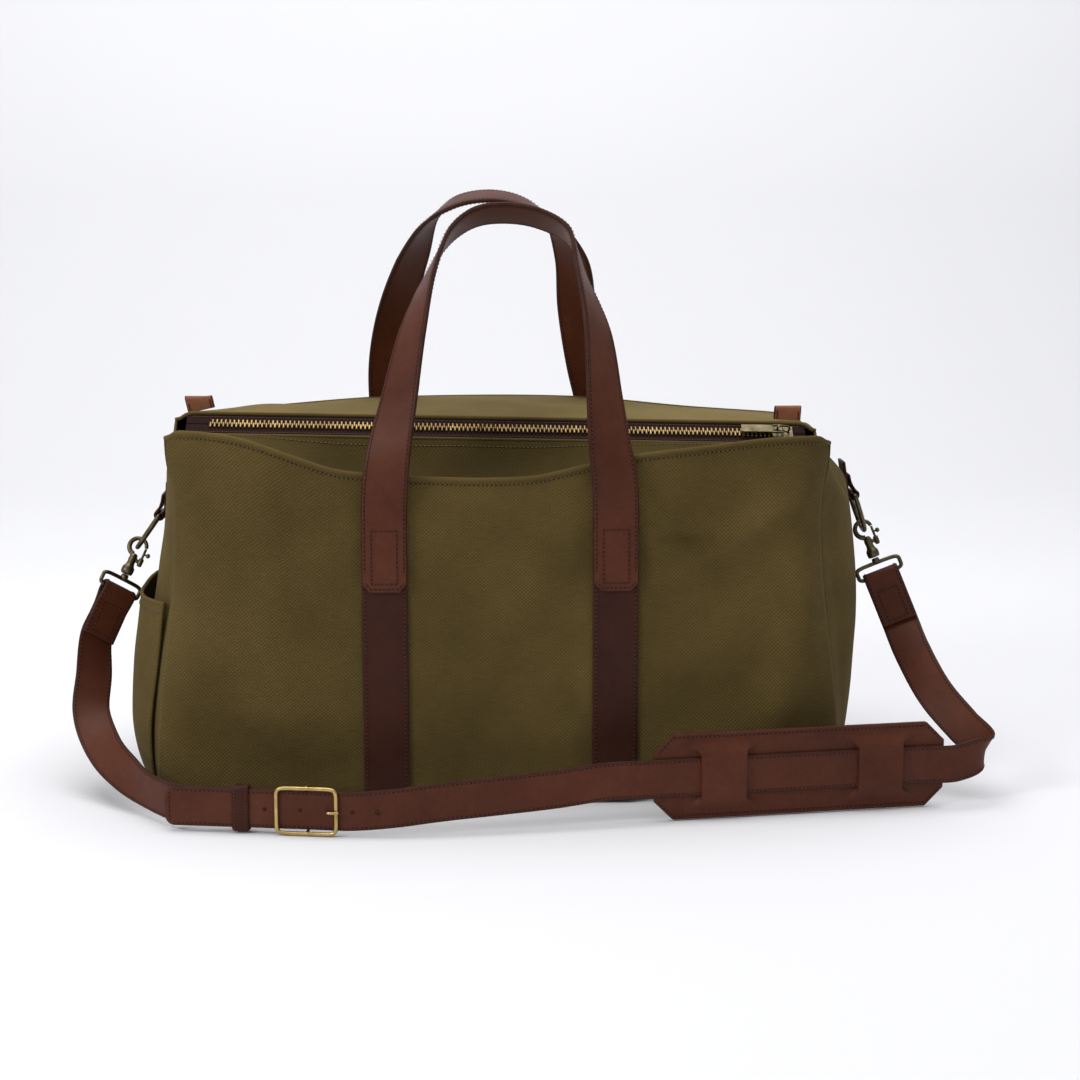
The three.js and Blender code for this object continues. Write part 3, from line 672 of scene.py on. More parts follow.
def tape_material():
    """Herringbone zip tape, dark maroon, with painted shade in the hollows between its ribs."""
    n = Nodes("zip_tape")
    where = n.position()
    parts = n.add("ShaderNodeSeparateXYZ")
    n.link(where, parts.inputs[0])
    ribs = n.math("SINE", n.math("MULTIPLY", parts.outputs["X"], 2 * math.pi / (1.1 * MM)))
    cross = n.math("SINE", n.math("MULTIPLY", parts.outputs["Y"], 2 * math.pi / (1.6 * MM)))
    rib_height = n.math("MULTIPLY_ADD", ribs, 0.5, 0.5)
    cross_height = n.math("MULTIPLY_ADD", cross, 0.3, 0.7)
    height = n.math("MULTIPLY", rib_height, cross_height)
    # The rib hollows are darker: painted shade over the tape's own dark maroon.
    colour = n.ramp(height, [(0.0, (0.010, 0.0045, 0.004)), (1.0, (0.042, 0.019, 0.016))])
    n.shade(Base_Color=colour, Roughness=0.85, Specular_IOR_Level=0.08, Normal=n.bump(height, 0.25 * MM, 0.8))
    return n.material


CANVAS = canvas_material("olive_canvas", (0.156, 0.107, 0.034), (0.090, 0.0615, 0.019))
# A lighter copy of the canvas for the rear top: painted light from above.
CANVAS_TOP_LIT = canvas_material("canvas_top_painted_light", (0.235, 0.172, 0.062), (0.155, 0.112, 0.038))
# A darker copy of the canvas for the front top: painted shade in the valley below the zip.
CANVAS_VALLEY_SHADE = canvas_material("canvas_valley_painted_shade", (0.082, 0.056, 0.014), (0.05, 0.034, 0.009))
# A darker copy of the canvas for the lining: painted shade inside the bag.
CANVAS_INNER = canvas_material("canvas_shade", (0.07, 0.05, 0.018), (0.045, 0.032, 0.012))
LEATHER_BROWN = leather_material("brown_leather", (0.100, 0.027, 0.0115), (0.052, 0.0125, 0.0055), 0.5)
LEATHER_DARK = leather_material("dark_leather", (0.050, 0.0115, 0.0045), (0.024, 0.0058, 0.0028), 0.5)
LEATHER_TAN = leather_material("tan_leather", (0.26, 0.105, 0.05), (0.17, 0.065, 0.03), 0.55)
EDGE = edge_material("waxed_edge", (0.05, 0.016, 0.009))
THREAD_DARK = thread_material("brown_thread", (0.12, 0.045, 0.028))
THREAD_OLIVE = thread_material("olive_thread", (0.15, 0.115, 0.05))
# Near-black colour for the patch under each stitch: painted shade of its hole and groove.
GROOVE_SHADE = edge_material("stitch_groove_painted_shade", (0.012, 0.006, 0.004))
BRASS = metal_material("brass", (0.62, 0.45, 0.18), (0.4, 0.27, 0.1), 0.3)
ANTIQUE = metal_material("antique_brass", (0.17, 0.135, 0.075), (0.05, 0.042, 0.028), 0.38)
TOOTH = metal_material("tooth_brass", (0.30, 0.21, 0.09), (0.10, 0.066, 0.03), 0.36)
TAPE = tape_material()


# ---- the canvas body ----------------------------------------------------------------------------------
def corner_turn(x_share):
    """How far a wall has turned back into its end seam: 0 on the flat and 1 at the seam."""
    return clamp01((abs(x_share) - 0.9) / 0.1) ** 2.2


def wall_point(side, x_share, v, rim, relief):
    """A wall, whose side edges turn back into the seam valleys. relief is what the folds add to it."""
    z = lerp(1.2 * MM, rim, v)
    x = x_share * seam_x(z)
    hold = under_strip(x) * smoothstep(v, 0.0, 0.12) * (1 - 0.75 * smoothstep(v, 0.9, 1.0))
    hold *= 1 - 0.7 * smoothstep(abs(x_share), 0.93, 1.0)
    y = wall_y(x, z) + relief(x, z) * hold
    y -= 7 * MM * smoothstep(0.05 - v, 0, 0.05)
    y -= SEAM_TURN * corner_turn(x_share)
    return Vector((x, side * y, z - corner_drop(x) * v**6))


def front_point(u, v):
    x_share = 2 * u - 1
    return wall_point(-1, x_share, v, front_rim(x_share * SEAM_X),
                      lambda x, z: fold_depth(x, z) + cloth_noise((x, 0, z), 0.3))


def back_point(u, v):
    x_share = 1 - 2 * u
    return wall_point(1, x_share, v, back_rim(x_share * SEAM_X),
                      lambda x, z: 0.8 * fold_depth(-x, z) + cloth_noise((x, 3, z), 1.7))


def top_edge(side):
    """The (y, z) line of the top's own edge above an end, from the front rim over the zip to the rear rim."""
    u = (side + 1) / 2
    line = [top_point(half, u, v / 12) for half in (-1, 1) for v in range(13)]
    return sorted((p.y, p.z + corner_drop(p.x)) for p in line)


def end_top(line, y):
    for (y0, z0), (y1, z1) in zip(line, line[1:]):
        if y <= y1:
            return lerp(z0, z1, clamp01((y - y0) / max(y1 - y0, 1e-9)))
    return line[-1][1]


def end_point(line, side, u, v):
    share = 2 * u - 1
    z = lerp(1.2 * MM, end_top(line, side * share * seam_y(line[0][1])), v)
    y = side * share * seam_y(z)
    x = end_x(side, y, z)
    free = math.sin(math.pi * clamp01(v)) ** 0.5 * (1 - abs(share) ** 8)
    beside = (abs(y) - FRONT_Y + 30 * MM) / (9 * MM)
    crease = 3.0 * MM * math.exp(-(beside**2)) * math.sin(math.pi * clamp01(v))
    x += cloth_noise((0.4 * side, y, z), 4.1) * free - crease
    x -= 9 * MM * smoothstep(0.06 - v, 0, 0.06)
    x = lerp(x, SEAM_X + EAR + 1.2 * MM, smoothstep(v, 0.84, 1.0))
    return Vector((side * x, y, z - corner_drop(x) * v**6))


def top_point(side, u, v):
    """The top, from the wall's rim in to the tape. The front slumps below its rim and climbs to the zip."""
    x = (2 * u - 1) * (SEAM_X + EAR + 1 * MM)
    rim = front_rim(x) if side < 0 else back_rim(x)
    inner = on_zip(x, side * (TAPE_HALF - 0.6 * MM), 0.7 * MM)
    turned = SEAM_TURN * corner_turn(x / (SEAM_X + EAR))
    outer_y = side * (wall_y(x, rim) - 0.6 * MM - turned)
    y = lerp(outer_y, inner.y, v)
    ends = 1 - smoothstep(abs(x), 0.19, 0.24)
    if side < 0:
        z = lerp(rim, inner.z, v ** lerp(1.2, 3.0, ends)) - 9 * MM * ends * math.sin(math.pi * v ** 0.8)
    else:
        z = lerp(rim, inner.z, v) + 2.5 * MM * math.sin(math.pi * v)
    z += cloth_noise((x, y, 0.2), 6.3) * 1.3 * math.sin(math.pi * v) - corner_drop(x)
    return Vector((x, y, z))


def base_point(u, v):
    half_x, half_y = BAG_BOTTOM[1].x - 12 * MM, BAG_BOTTOM[1].y - 10 * MM
    x_share, y_share = 2 * u - 1, 1 - 2 * v
    x = x_share * (half_x - 14 * MM * y_share**8)
    y = y_share * (half_y - 20 * MM * x_share**8)
    return Vector((x, y, 0.4 * MM))


def canvas_body():
    wide, high, deep = 0.5, 0.28, 0.235
    panels = [
        ("front_panel", cloth_panel("front_wall", 240, 130, front_point, CANVAS, uv_scale=(wide, high))),
        ("back_panel", cloth_panel("back_wall", 160, 90, back_point, CANVAS, uv_scale=(wide, high))),
    ]
    for label, side in (("left", -1), ("right", 1)):
        def place(u, v, line=top_edge(side), side=side):
            return end_point(line, side, u, v)

        end = cloth_panel(f"{label}_end", 80, 90, place, CANVAS, uv_scale=(deep, high))
        panels.append((f"{label}_end_panel", end))
    base = cloth_panel("base", 40, 24, base_point, CANVAS, uv_scale=(wide, 0.22))
    # The front top takes the darker canvas copy, painted shade in the valley below the zip.
    top_front = cloth_panel("top_front", 160, 26, lambda u, v: top_point(-1, u, v), CANVAS_VALLEY_SHADE,
                            uv_scale=(0.49, 0.07))
    # The rear top takes the lighter canvas copy, painted light from above.
    top_rear = cloth_panel("top_rear", 160, 40, lambda u, v: top_point(1, u, v), CANVAS_TOP_LIT, flip=True,
                           uv_scale=(0.49, 0.14))
    panels += [("bottom_panel", base), ("top_panel_front", top_front), ("top_panel_rear", top_rear)]
    for node, piece in panels:
        finished(piece, "bag", "canvas", node)


def seam_rolls():
    """Folded canvas edges: both rims and the two lips beside the zip."""
    steps = 120
    rolls = []
    for name, edge, shift, radius in (
            ("front_rim_roll", front_point, (0, 0.6, -0.8), 2.0),
            ("back_rim_roll", back_point, (0, -0.6, -0.8), 1.6),
            ("zip_lip_rear", lambda u, v: top_point(1, u, v), (0, 0, -0.2), 1.5),
            ("zip_lip_front", lambda u, v: top_point(-1, u, v), (0, 0, -0.2), 1.2)):
        line = [edge(i / steps, 1.0) + Vector(shift) * MM for i in range(steps + 1)]
        rolls.append(tube(name, line, radius * MM, CANVAS, sides=10))
    piece = joined("canvas_seams", rolls)
    finished(piece, "bag", "canvas")


RIM_STITCH_DROP = 4.5 * MM
LIP_STITCH_BACK = 5 * MM
THREAD_LIFT = 0.15 * MM
TOP_SPANS = {-1: 70 * MM, 1: 143 * MM}


def body_stitching():
    steps = 200
    lines = []
    for place, rim_at, facing in ((front_point, lambda u: front_rim((2 * u - 1) * SEAM_X), -1),
                                  (back_point, lambda u: back_rim((1 - 2 * u) * SEAM_X), 1)):
        line = []
        for i in range(3, steps - 2):
            u = i / steps
            p = place(u, 1 - RIM_STITCH_DROP / rim_at(u))
            line.append((p + Vector((0, facing * THREAD_LIFT, 0)), Vector((0, facing, 0.1)).normalized()))
        lines.append(line)
    for side, span in TOP_SPANS.items():
        edge = []
        for i in range(4, steps - 3):
            p = top_point(side, i / steps, 1 - LIP_STITCH_BACK / span)
            edge.append((p + Vector((0, 0, THREAD_LIFT)), Vector((0, 0, 1))))
        lines.append(edge)
    sewn("canvas_stitching", lines, slot="canvas", thread=THREAD_OLIVE)


def end_pocket():
    """A patch pocket on the left end: its mouth stands open, with a turned hem and its stitch line."""
    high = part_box("left_end_pocket")[1]
    half, top = high.y, high.z
    depth = 9.5 * MM

    def place(u, v):
        y = (1 - 2 * u) * half
        share = abs(y) / half
        z = lerp(3 * MM, top - 3 * MM * (1 - share), v)
        gape = depth * clamp01((z - 0.01) / (top - 0.01)) ** 0.7 * (1 - share**4)
        wave = cloth_noise((0, y, z), 8.8) * 0.9 * math.sin(math.pi * v)
        return Vector((-(end_x(-1, y, z) + GAP + gape + 1.6 * MM + wave), y, z))

    pocket = cloth_panel("end_pocket", 80, 60, place, CANVAS, uv_scale=(0.19, 0.15))
    hem = [place(i / 60, 1.0) + Vector((0.7 * MM, 0, -0.8 * MM)) for i in range(61)]
    roll = tube("pocket_hem", hem, 1.5 * MM, CANVAS, sides=10)
    out = Vector((-1, 0, 0))
    line = [(place(i / 60, 1 - 9 * MM / top) + out * (0.2 * MM), out) for i in range(61)]
    finished(pocket, "bag", "canvas", "left_end_pocket")
    finished(roll, "bag", "canvas")
    sewn("pocket_stitching", [line], slot="canvas", thread=THREAD_OLIVE)


# ---- leather on the walls -----------------------------------------------------------------------------
def wall_frames(side, x, z0, z1, lift, count=60):
    """Frames up a wall, lift above the cloth."""
    frames = []
    for k in range(count):
        z = lerp(z0, z1, k / (count - 1))
        y = wall_y(x, z) + lift
        slope = (wall_y(x, z + MM) - wall_y(x, z - MM)) / (2 * MM)
        out = Vector((0, side, -slope)).normalized()
        frames.append((Vector((x, side * y, z)), Vector((-side * 1.0, 0, 0)), out))
    return frames


def edge_lines(frames, width, inset, thickness, sides=(-1, 1), faces=(1,), skip=0):
    """Stitch lines along a band's edges."""
    lines = []
    reach, lift = width / 2 - inset, thickness / 2 + 0.06 * MM
    for face in faces:
        for s in sides:
            lines.append([(p + across * (s * reach) + out * (face * lift), out * face)
                          for p, across, out in frames[skip:len(frames) - skip]])
    return lines


def wall_strips(label, side):
    strips, lines = [], []
    for sign in (-1, 1):
        frames = wall_frames(side, sign * HANDLE_X, 3 * MM, STRIP_BOX[1].z, GAP + LEATHER / 2)
        strips.append(sweep_band(f"{label}_strip_{sign}", frames, HANDLE_W, LEATHER, [LEATHER_DARK, EDGE]))
        lines += edge_lines(frames, HANDLE_W, 2.4 * MM, LEATHER + 0.3 * MM)
    strip = joined(f"{label}_strips", strips)
    finished(strip, "bag", "leather", f"{label}_strip_left", f"{label}_strip_right")
    sewn(f"{label}_strip_stitching", lines)


# ---- handles ------------------------------------------------------------------------------------------
HANDLE_T = 3.2 * MM
PATCH_CUT = 6 * MM
ARCH = {
    "front": ([(84.5, -1.5, 250, 0.97, 0.12, 0), (81, 1, 275, 0.9, 0.3, 0), (76, 14, 310, 0.78, 0.5, 2),
               (69, 38, 358, 0.64, 0.72, 5), (57, 58, 398, 0.32, 0.92, 6), (45.5, 74, 425, 0.12, 1, 9),
               (24, 82, 438.5, 0.02, 1, 6)], (3, 85, 442), 0.5),
    "rear": ([(86.5, -1.5, 250, 1, 0, 0), (87, 1, 275, 1, 0.03, -1), (83, 12, 310, 1, 0.05, -5),
              (74.5, 32, 358, 0.9, 0.35, -6), (64.5, 56, 402, 0.75, 0.6, -2), (49, 74, 433, 0.35, 0.9, -3),
              (27, 82, 448, 0.08, 1, -5)], (-5, 85, 453), 0.2),
}


def handle_stations(label, side):
    """Stations from the left patch's lower edge, up over the grip and down to the right patch's."""
    arch, apex, roll = ARCH[label]
    leg_x = HANDLE_X / MM
    lift = (2 * GAP + LEATHER + HANDLE_T / 2) / MM
    heights = (PATCH_BOX[0].z / MM, 185, 204, 218)
    patch = [(leg_x, wall_y(HANDLE_X, z * MM) / MM + lift, z, 1, 0, 0) for z in heights]
    leg_y = wall_y(HANDLE_X, 0.228) / MM + lift
    foot = [(leg_x, leg_y, 226.8, 1, 0, 0)]
    rising = patch + foot + [(x, leg_y - back, z, wx, wy, lean) for x, back, z, wx, wy, lean in arch]
    left = [(lean - x, y, z, wx, wy) for x, y, z, wx, wy, lean in rising]
    right = [(lean + x, y, z, -wx, wy) for x, y, z, wx, wy, lean in reversed(rising)]
    middle = [(apex[0], leg_y - apex[1], apex[2], 0, 1)]
    return [(x, side * y, z, wx, side * wy, roll * wy) for x, y, z, wx, wy in left + middle + right]


def handle(label, side):
    """A handle and its two sewn-down ends are one band, which bends where the ends leave the wall."""
    body = f"{label}_handle"
    frames = ribbon_frames(handle_stations(label, side), 320)
    total = path_length([f[0] for f in frames])

    def taper(t):
        end = min(t, 1 - t) * total
        return 1 - 2 * max(0.0, PATCH_CUT - end) / HANDLE_W

    band = sweep_band(f"{label}_handle_band", frames, HANDLE_W, HANDLE_T, [LEATHER_BROWN, EDGE],
                      crown=0.3 * MM, width_at=taper)
    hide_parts(body, f"{label}_handle_patch_left", f"{label}_handle_patch_right")
    lines = edge_lines(frames, HANDLE_W, 2.4 * MM, HANDLE_T + 0.35 * MM, faces=(1, -1), skip=7)
    low = PATCH_BOX[0].z
    for leg in (frames[:70], frames[-70:]):
        lines += box_lines(leg, 19 * MM, low + 6 * MM, low + 47 * MM, side * leg[0][2].y)
        lines += patch_foot_lines(leg if leg[0][0].z < leg[-1][0].z else leg[::-1], side)
    thread = stitches(f"{label}_handle_stitching", lines, THREAD_DARK)
    for piece in (band, thread):
        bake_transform(piece)


def patch_foot_lines(leg, side):
    """The stitch row along a patch's lower edge and cut corners."""
    p, across, out = leg[0]
    up = (leg[4][0] - p).normalized()
    face = out * (1 if out.y * side > 0 else -1)
    half, inset, cut = HANDLE_W / 2, 2.4 * MM, PATCH_CUT + 1 * MM
    corners = [(-half + inset, cut), (-half + cut, inset), (half - cut, inset), (half - inset, cut)]
    rise = HANDLE_T / 2 + 0.2 * MM
    return [[(p + across * a + up * b + face * rise, face) for a, b in corners]]


def stitch_across(frame, half, face, lift):
    """A line of stitching across a band."""
    p, across, out = frame
    return [(p + across * (t * half) + out * (face * lift), out * face) for t in (-1, -0.5, 0, 0.5, 1)]


def stitch_box(frames, half, face, lift):
    """A rectangle of stitching on one face of a stretch of band."""
    lines = [[(p + across * (s * half) + out * (face * lift), out * face) for p, across, out in frames]
             for s in (-1, 1)]
    return lines + [stitch_across(frame, half, face, lift) for frame in (frames[0], frames[-1])]


def box_lines(frames, width, z0, z1, facing):
    """A rectangle of stitching on the outer face of a sewn-down end."""
    inside = [f for f in frames if z0 <= f[0].z <= z1]
    return stitch_box(inside, width / 2, 1 if facing > 0 else -1, HANDLE_T / 2 + 0.3 * MM)


# ---- zip ----------------------------------------------------------------------------------------------
def zip_pieces():
    reach = TAPE_BOX[1].x
    for side, node in ((-1, "zip_tape_front"), (1, "zip_tape_rear")):
        def place(u, v, side=side):
            return on_zip(lerp(-reach, reach, u), side * lerp(0.3 * MM, TAPE_HALF, v), -0.1 * MM)

        tape = cloth_panel(f"{node}_cloth", 60, 6, place, TAPE, thickness=0.9 * MM, flip=side < 0,
                           uv_scale=(0.48, 0.013))
        finished(tape, "bag", "zip_tape", node)
        out = Vector((0, -math.sin(ZIP_TILT), math.cos(ZIP_TILT)))
        rows = [[(on_zip(lerp(-0.236, 0.236, k / 120), side * 8.6 * MM, 0.15 * MM), out) for k in range(121)]]
        sewn(f"{node}_stitching", rows, slot="zip_tape")
    teeth(*CHAIN)


def teeth(start, end):
    """Interlocked metal teeth: a bevelled block for each, the two rows half a pitch apart."""
    pitch = 3.3 * MM
    verts, faces = [], []
    count = int((end - start) / pitch)
    section = ((-1, -1), (1, -1), (1, 0.5), (0.5, 1), (-0.5, 1), (-1, 0.5))
    for k in range(count):
        for side in (-1, 1):
            x = start + (k + (0.25 if side < 0 else 0.75)) * pitch
            half_x, half_h = 0.95 * MM, 1.3 * MM
            base = len(verts)
            for across, grow in ((-1.2 * MM, 0.7), (-0.5 * MM, 1.0), (3.8 * MM, 1.0), (4.4 * MM, 0.7)):
                for sx, sz in section:
                    verts.append(on_zip(x + sx * half_x * grow, side * across, 0.5 * MM + sz * half_h * grow))
            ring = len(section)
            flip = side < 0
            for level in range(3):
                for i in range(ring):
                    a, b = base + level * ring + i, base + level * ring + (i + 1) % ring
                    faces.append((b, a, a + ring, b + ring) if flip else (a, b, b + ring, a + ring))
            near, far = tuple(base + i for i in range(ring)), tuple(base + 3 * ring + i for i in range(ring))
            faces += [near, far[::-1]] if flip else [near[::-1], far]
    piece = new_object("zip_teeth", verts, faces, [TOOTH], smooth=False)
    finished(piece, "bag", "brass")


def zip_end_tabs():
    """Tan leather tabs, folded over at the top, that stand behind the zip's two ends."""
    for label, lean in (("left", -0.22), ("right", 0.06)):
        low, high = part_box(f"zip_tab_{label}")
        centre, half_t, rise = (low + high) / 2, (high.y - low.y) / 2 - 0.8 * MM, high.z - low.z - 1 * MM
        rising = [(-1, 0), (-1.02, 0.35), (-1.02, 0.7), (-0.75, 0.93)]
        outline = [*rising, (0, 1), *[(-a, b) for a, b in reversed(rising)]]
        stations = [((centre.x + lean * b * rise) / MM, (centre.y + a * half_t) / MM, (low.z + b * rise) / MM,
                     1, 0, 0.1 * lean) for a, b in outline]
        frames = ribbon_frames(stations, 48)
        width = high.x - low.x
        tab = sweep_band(f"zip_tab_{label}_fold", frames, width, 1.5 * MM, [LEATHER_TAN, EDGE])
        finished(tab, "bag", "leather_tan", f"zip_tab_{label}")
        facing = 1 if frames[4][2].y < 0 else -1
        lines = edge_lines(frames[1:16], width, 2.2 * MM, 1.7 * MM, faces=(facing,))
        sewn(f"zip_tab_{label}_stitching", lines, slot="leather_tan")


# ---- rings, hooks and buckle: the frame's own metal ---------------------------------------------------
def superellipse(half_x, half_y, power, count=72):
    points = []
    for k in range(count):
        a = 2 * math.pi * k / count
        c, s = math.cos(a), math.sin(a)
        x, y = math.copysign(abs(c) ** power, c), math.copysign(abs(s) ** power, s)
        points.append((half_x * x, half_y * y))
    return points


CLIPS = {
    "left": {"down": Vector((-0.38, -0.36, -0.85)), "across": Vector((0.7, 0.48, -0.47)), "side": -1},
    "right": {"down": Vector((0.35, -0.25, -0.9)), "across": Vector((0.85, -0.1, 0.36)), "side": 1},
}
EYE_R = 6.8 * MM
BAR_DROP = 39 * MM
LOOP_TOP = 28.5 * MM
BAR_R = 1.6 * MM
RING_WIRE = 1.9 * MM


def hook_point(label):
    return Vector(JOINTS[f"{label}_hook_swivel"]["pos_m"])


def local_frame(up, across, origin):
    z = up.normalized()
    x = (across - z * across.dot(z)).normalized()
    turn = Matrix((x, z.cross(x), z)).transposed().to_4x4()
    return Matrix.Translation(origin) @ turn


def d_ring(label):
    bar = Vector(JOINTS[f"{label}_ring_swing"]["pos_m"])
    bottom = hook_point(label)
    drop = bottom - bar
    reach = drop.length
    up = -drop.normalized()
    half = 16 * MM
    points = []
    for k in range(96):
        a = 2 * math.pi * k / 96
        c, s = math.cos(a), math.sin(a)
        if s > 0:
            y, h = half * math.copysign(abs(c) ** 0.2, c), -6 * MM + 6 * MM * s**0.2
        else:
            y, h = half * math.copysign(abs(c) ** 0.75, c), -6 * MM + (reach - 6 * MM) * s
        points.append(bar + Vector((0, 1, 0)) * y + up * h)
    ring = tube(f"ring_wire_{label}", points, RING_WIRE, ANTIQUE, closed=True, sides=14)
    finished(ring, f"{label}_ring", "antique_brass", f"d_ring_{label}")


# Turned shapes of a snap hook in millimetres: (radius, height below the ring).
HOOK_BARREL = [
    (0.2, -6.0), (2.3, -6.4), (3.0, -8), (3.3, -11), (3.0, -14), (3.6, -16.5), (4.8, -18.2), (5.0, -20.5),
    (4.8, -22.6), (4.2, -23.8), (0.2, -24.0),
]
BOLT_GUIDE = [(0.1, -15), (1.7, -14.6), (2.1, -13), (2.1, -9), (1.8, -8.1), (0.1, -8.0)]
BOLT_PIN = [(0.1, -10.8), (1.0, -10.7), (1.0, 0.0), (0.6, 0.5), (0.1, 0.6)]
BOLT_KNOB = [
    (0.1, -2.6), (0.75, -2.5), (0.75, -0.6), (1.7, -0.1), (2.0, 0.9), (1.7, 1.9), (0.9, 2.5), (0.1, 2.6),
]
LOOP_COLLAR = [(0.1, -29.4), (2.2, -29.2), (3.0, -28.2), (3.1, -26.0), (2.6, -24.6), (0.1, -24.5)]


def in_mm(points):
    return [tuple(c * MM for c in point) for point in points]


def snap_hook(label):
    clip = CLIPS[label]
    place = local_frame(-clip["down"], Vector((1, 0, 0)), hook_point(label))
    # The hook's curl, from its throat over the ring and down to the gate's tip.
    arc = [place @ Vector((EYE_R * math.sin(math.radians(d)), 0, -EYE_R * math.cos(math.radians(d))))
           for d in np.linspace(-10, -262, 44)]
    curl = tube(f"hook_curl_{label}", arc, lambda t: lerp(2.1, 1.5, t) * MM, ANTIQUE, sides=14)
    gate = place @ Matrix.Translation((EYE_R, 0, 0))
    body = lathe(f"hook_barrel_{label}", in_mm(HOOK_BARREL), place, ANTIQUE, 28)
    guide = lathe(f"hook_guide_{label}", in_mm(BOLT_GUIDE), gate, ANTIQUE, 18)
    across_web = [place @ Vector((x, 0, z)) for x, z in in_mm([(1, -9), (3.5, -11), (6, -12)])]
    web = tube(f"hook_web_{label}", across_web, 1.5 * MM, ANTIQUE, sides=10)
    hook = joined(f"hook_body_{label}", [curl, body, guide, web])
    finished(hook, f"{label}_hook", "antique_brass", f"hook_{label}")
    bolt = lathe(f"bolt_pin_{label}", in_mm(BOLT_PIN), gate, ANTIQUE, 16)
    beside = Matrix.Translation((EYE_R + 2.6 * MM, 0, -4.2 * MM))
    knob_at = place @ beside @ Matrix.Rotation(math.pi / 2, 4, "Y")
    knob = lathe(f"bolt_knob_{label}", in_mm(BOLT_KNOB), knob_at, ANTIQUE, 18)
    trigger = joined(f"hook_trigger_{label}", [bolt, knob])
    finished(trigger, f"{label}_bolt", "antique_brass", f"hook_bolt_{label}")


def swivel_loop(label):
    clip = CLIPS[label]
    place = local_frame(-clip["down"], clip["across"], hook_point(label))
    half_w, half_h = STRAP_W / 2 + 3.4 * MM, (BAR_DROP - LOOP_TOP) / 2
    centre = -(BAR_DROP + LOOP_TOP) / 2
    points = [place @ Vector((x, 0, centre + z)) for x, z in superellipse(half_w, half_h, 0.4)]
    wire = tube(f"loop_wire_{label}", points, BAR_R, ANTIQUE, closed=True, sides=12)
    collar = lathe(f"loop_collar_{label}", in_mm(LOOP_COLLAR), place, ANTIQUE, 24)
    finished(joined(f"swivel_loop_{label}", [wire, collar]), "strap", "antique_brass", f"hook_loop_{label}")


def ring_tab(label):
    """A leather strip sewn to the end, folded round the ring's bar and back on itself."""
    side = CLIPS[label]["side"]
    bar = Vector(JOINTS[f"{label}_ring_swing"]["pos_m"])
    low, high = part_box(f"ring_tab_{label}")
    wrap = RING_WIRE + 0.5 * MM + 1.0 * MM
    stations = []
    for k in range(5):
        z = lerp(high.z, bar.z + 4 * MM, k / 4)
        stations.append((side * (end_x(side, 0, z) + 2.2 * MM), z))
    for a in (150, 195, 240, 270, 300, 345, 390, 430):
        angle = math.radians(a)
        stations.append((bar.x + side * wrap * math.cos(angle), bar.z + wrap * math.sin(angle)))
    stations.append((side * (end_x(side, 0, bar.z + 8 * MM) + 5.4 * MM), bar.z + 9 * MM))
    stations.append((side * (end_x(side, 0, bar.z + 16 * MM) + 4.8 * MM), bar.z + 16 * MM))
    frames = ribbon_frames([(x / MM, 0, z / MM, 0, 1, 0) for x, z in stations], 90)
    width = high.y - low.y
    tab = sweep_band(f"ring_tab_{label}_leather", frames, width, 2.0 * MM, [LEATHER_DARK, EDGE])
    finished(tab, "bag", "leather", f"ring_tab_{label}")


# ---- shoulder strap -----------------------------------------------------------------------------------
GROUND_Z = 18.7
BUCKLE = {"x": -142, "y": -192, "heading": -0.15, "bar_depth": 4.0}
PAD = {"x": 223, "y": -156, "z": 33.6, "slope": 0.151}
HOLES = (-31, -5, 14.6, 33, 51)
STITCH_LIFT = LEATHER / 2 + 0.2 * MM


def buckle_y(x):
    return BUCKLE["y"] + (x - BUCKLE["x"]) * BUCKLE["heading"]


def pad_y(x):
    return PAD["y"] + (x - PAD["x"]) * PAD["slope"]


def along_strap(x, y, z, slope):
    """A frame at a place in millimetres, turned to the strap's slope."""
    return Matrix.Translation(Vector((x, y, z)) * MM) @ Matrix.Rotation(math.atan(slope), 4, "Z")


def turn_over_bar(label):
    """The doubled end over the hook's loop, from the sewn-down flap over the bar to the strap's run."""
    clip = CLIPS[label]
    down = clip["down"].normalized()
    across = (clip["across"] - down * clip["across"].dot(down)).normalized()
    normal = down.cross(across)
    bar = (hook_point(label) + down * BAR_DROP) / MM
    thick = LEATHER / MM
    around, lay = BAR_R / MM + 0.8 + thick / 2, thick / 2 + 0.3

    def at(n, d):
        p = bar + normal * n + down * d
        return (*p, *across)

    flap = [(lay, 40), (lay, 24), (lay, 14), (around, 3), (around * 0.8, -around * 0.65)]
    return [at(n, d) for n, d in [*flap, (0, -around), *[(-n, d) for n, d in reversed(flap)]]]


def strap_short():
    behind = LEATHER / MM + 1.4
    stations = turn_over_bar("left") + [
        (-317, -38, 84, 0.85, 0.35, -0.25), (-317, -57, 60, 0.8, 0.45, 0.1), (-303, -89, 39, 0.6, 0.35, 0.6),
        (-284, -118, 28, 0.3, 0.3, 0.85), (-259, -148, 20, 0, 0, 1)]
    line = ((-232, 1), (-205, 0), (-180, 0), (-160, 0))
    stations += [(x, buckle_y(x) + behind + back, GROUND_Z, 0, 0, 1) for x, back in line]
    stations += [(BUCKLE["x"] - 2, buckle_y(BUCKLE["x"]) + behind, GROUND_Z, 0, 0, 1)]
    frames = ribbon_frames(stations, 420)
    band = sweep_band("strap_short_band", frames, STRAP_W, LEATHER, [LEATHER_BROWN, EDGE])
    finished(band, "strap", "leather", "strap_short")
    sewn("strap_short_stitching", strap_lines(frames, frames), "strap")


def strap_lines(frames, edged):
    """A strap part's stitching: both edges, and the box that closes its doubled end."""
    lines = edge_lines(edged, STRAP_W, 2.2 * MM, LEATHER + 0.2 * MM, faces=(1, -1), skip=2)
    length = 0.0
    inside = []
    for a, b in zip(frames, frames[1:]):
        length += (b[0] - a[0]).length
        if 4 * MM < length < 30 * MM:
            inside.append(a)
    for face in (1, -1):
        lines += stitch_box(inside, 8 * MM, face, STITCH_LIFT)
    return lines


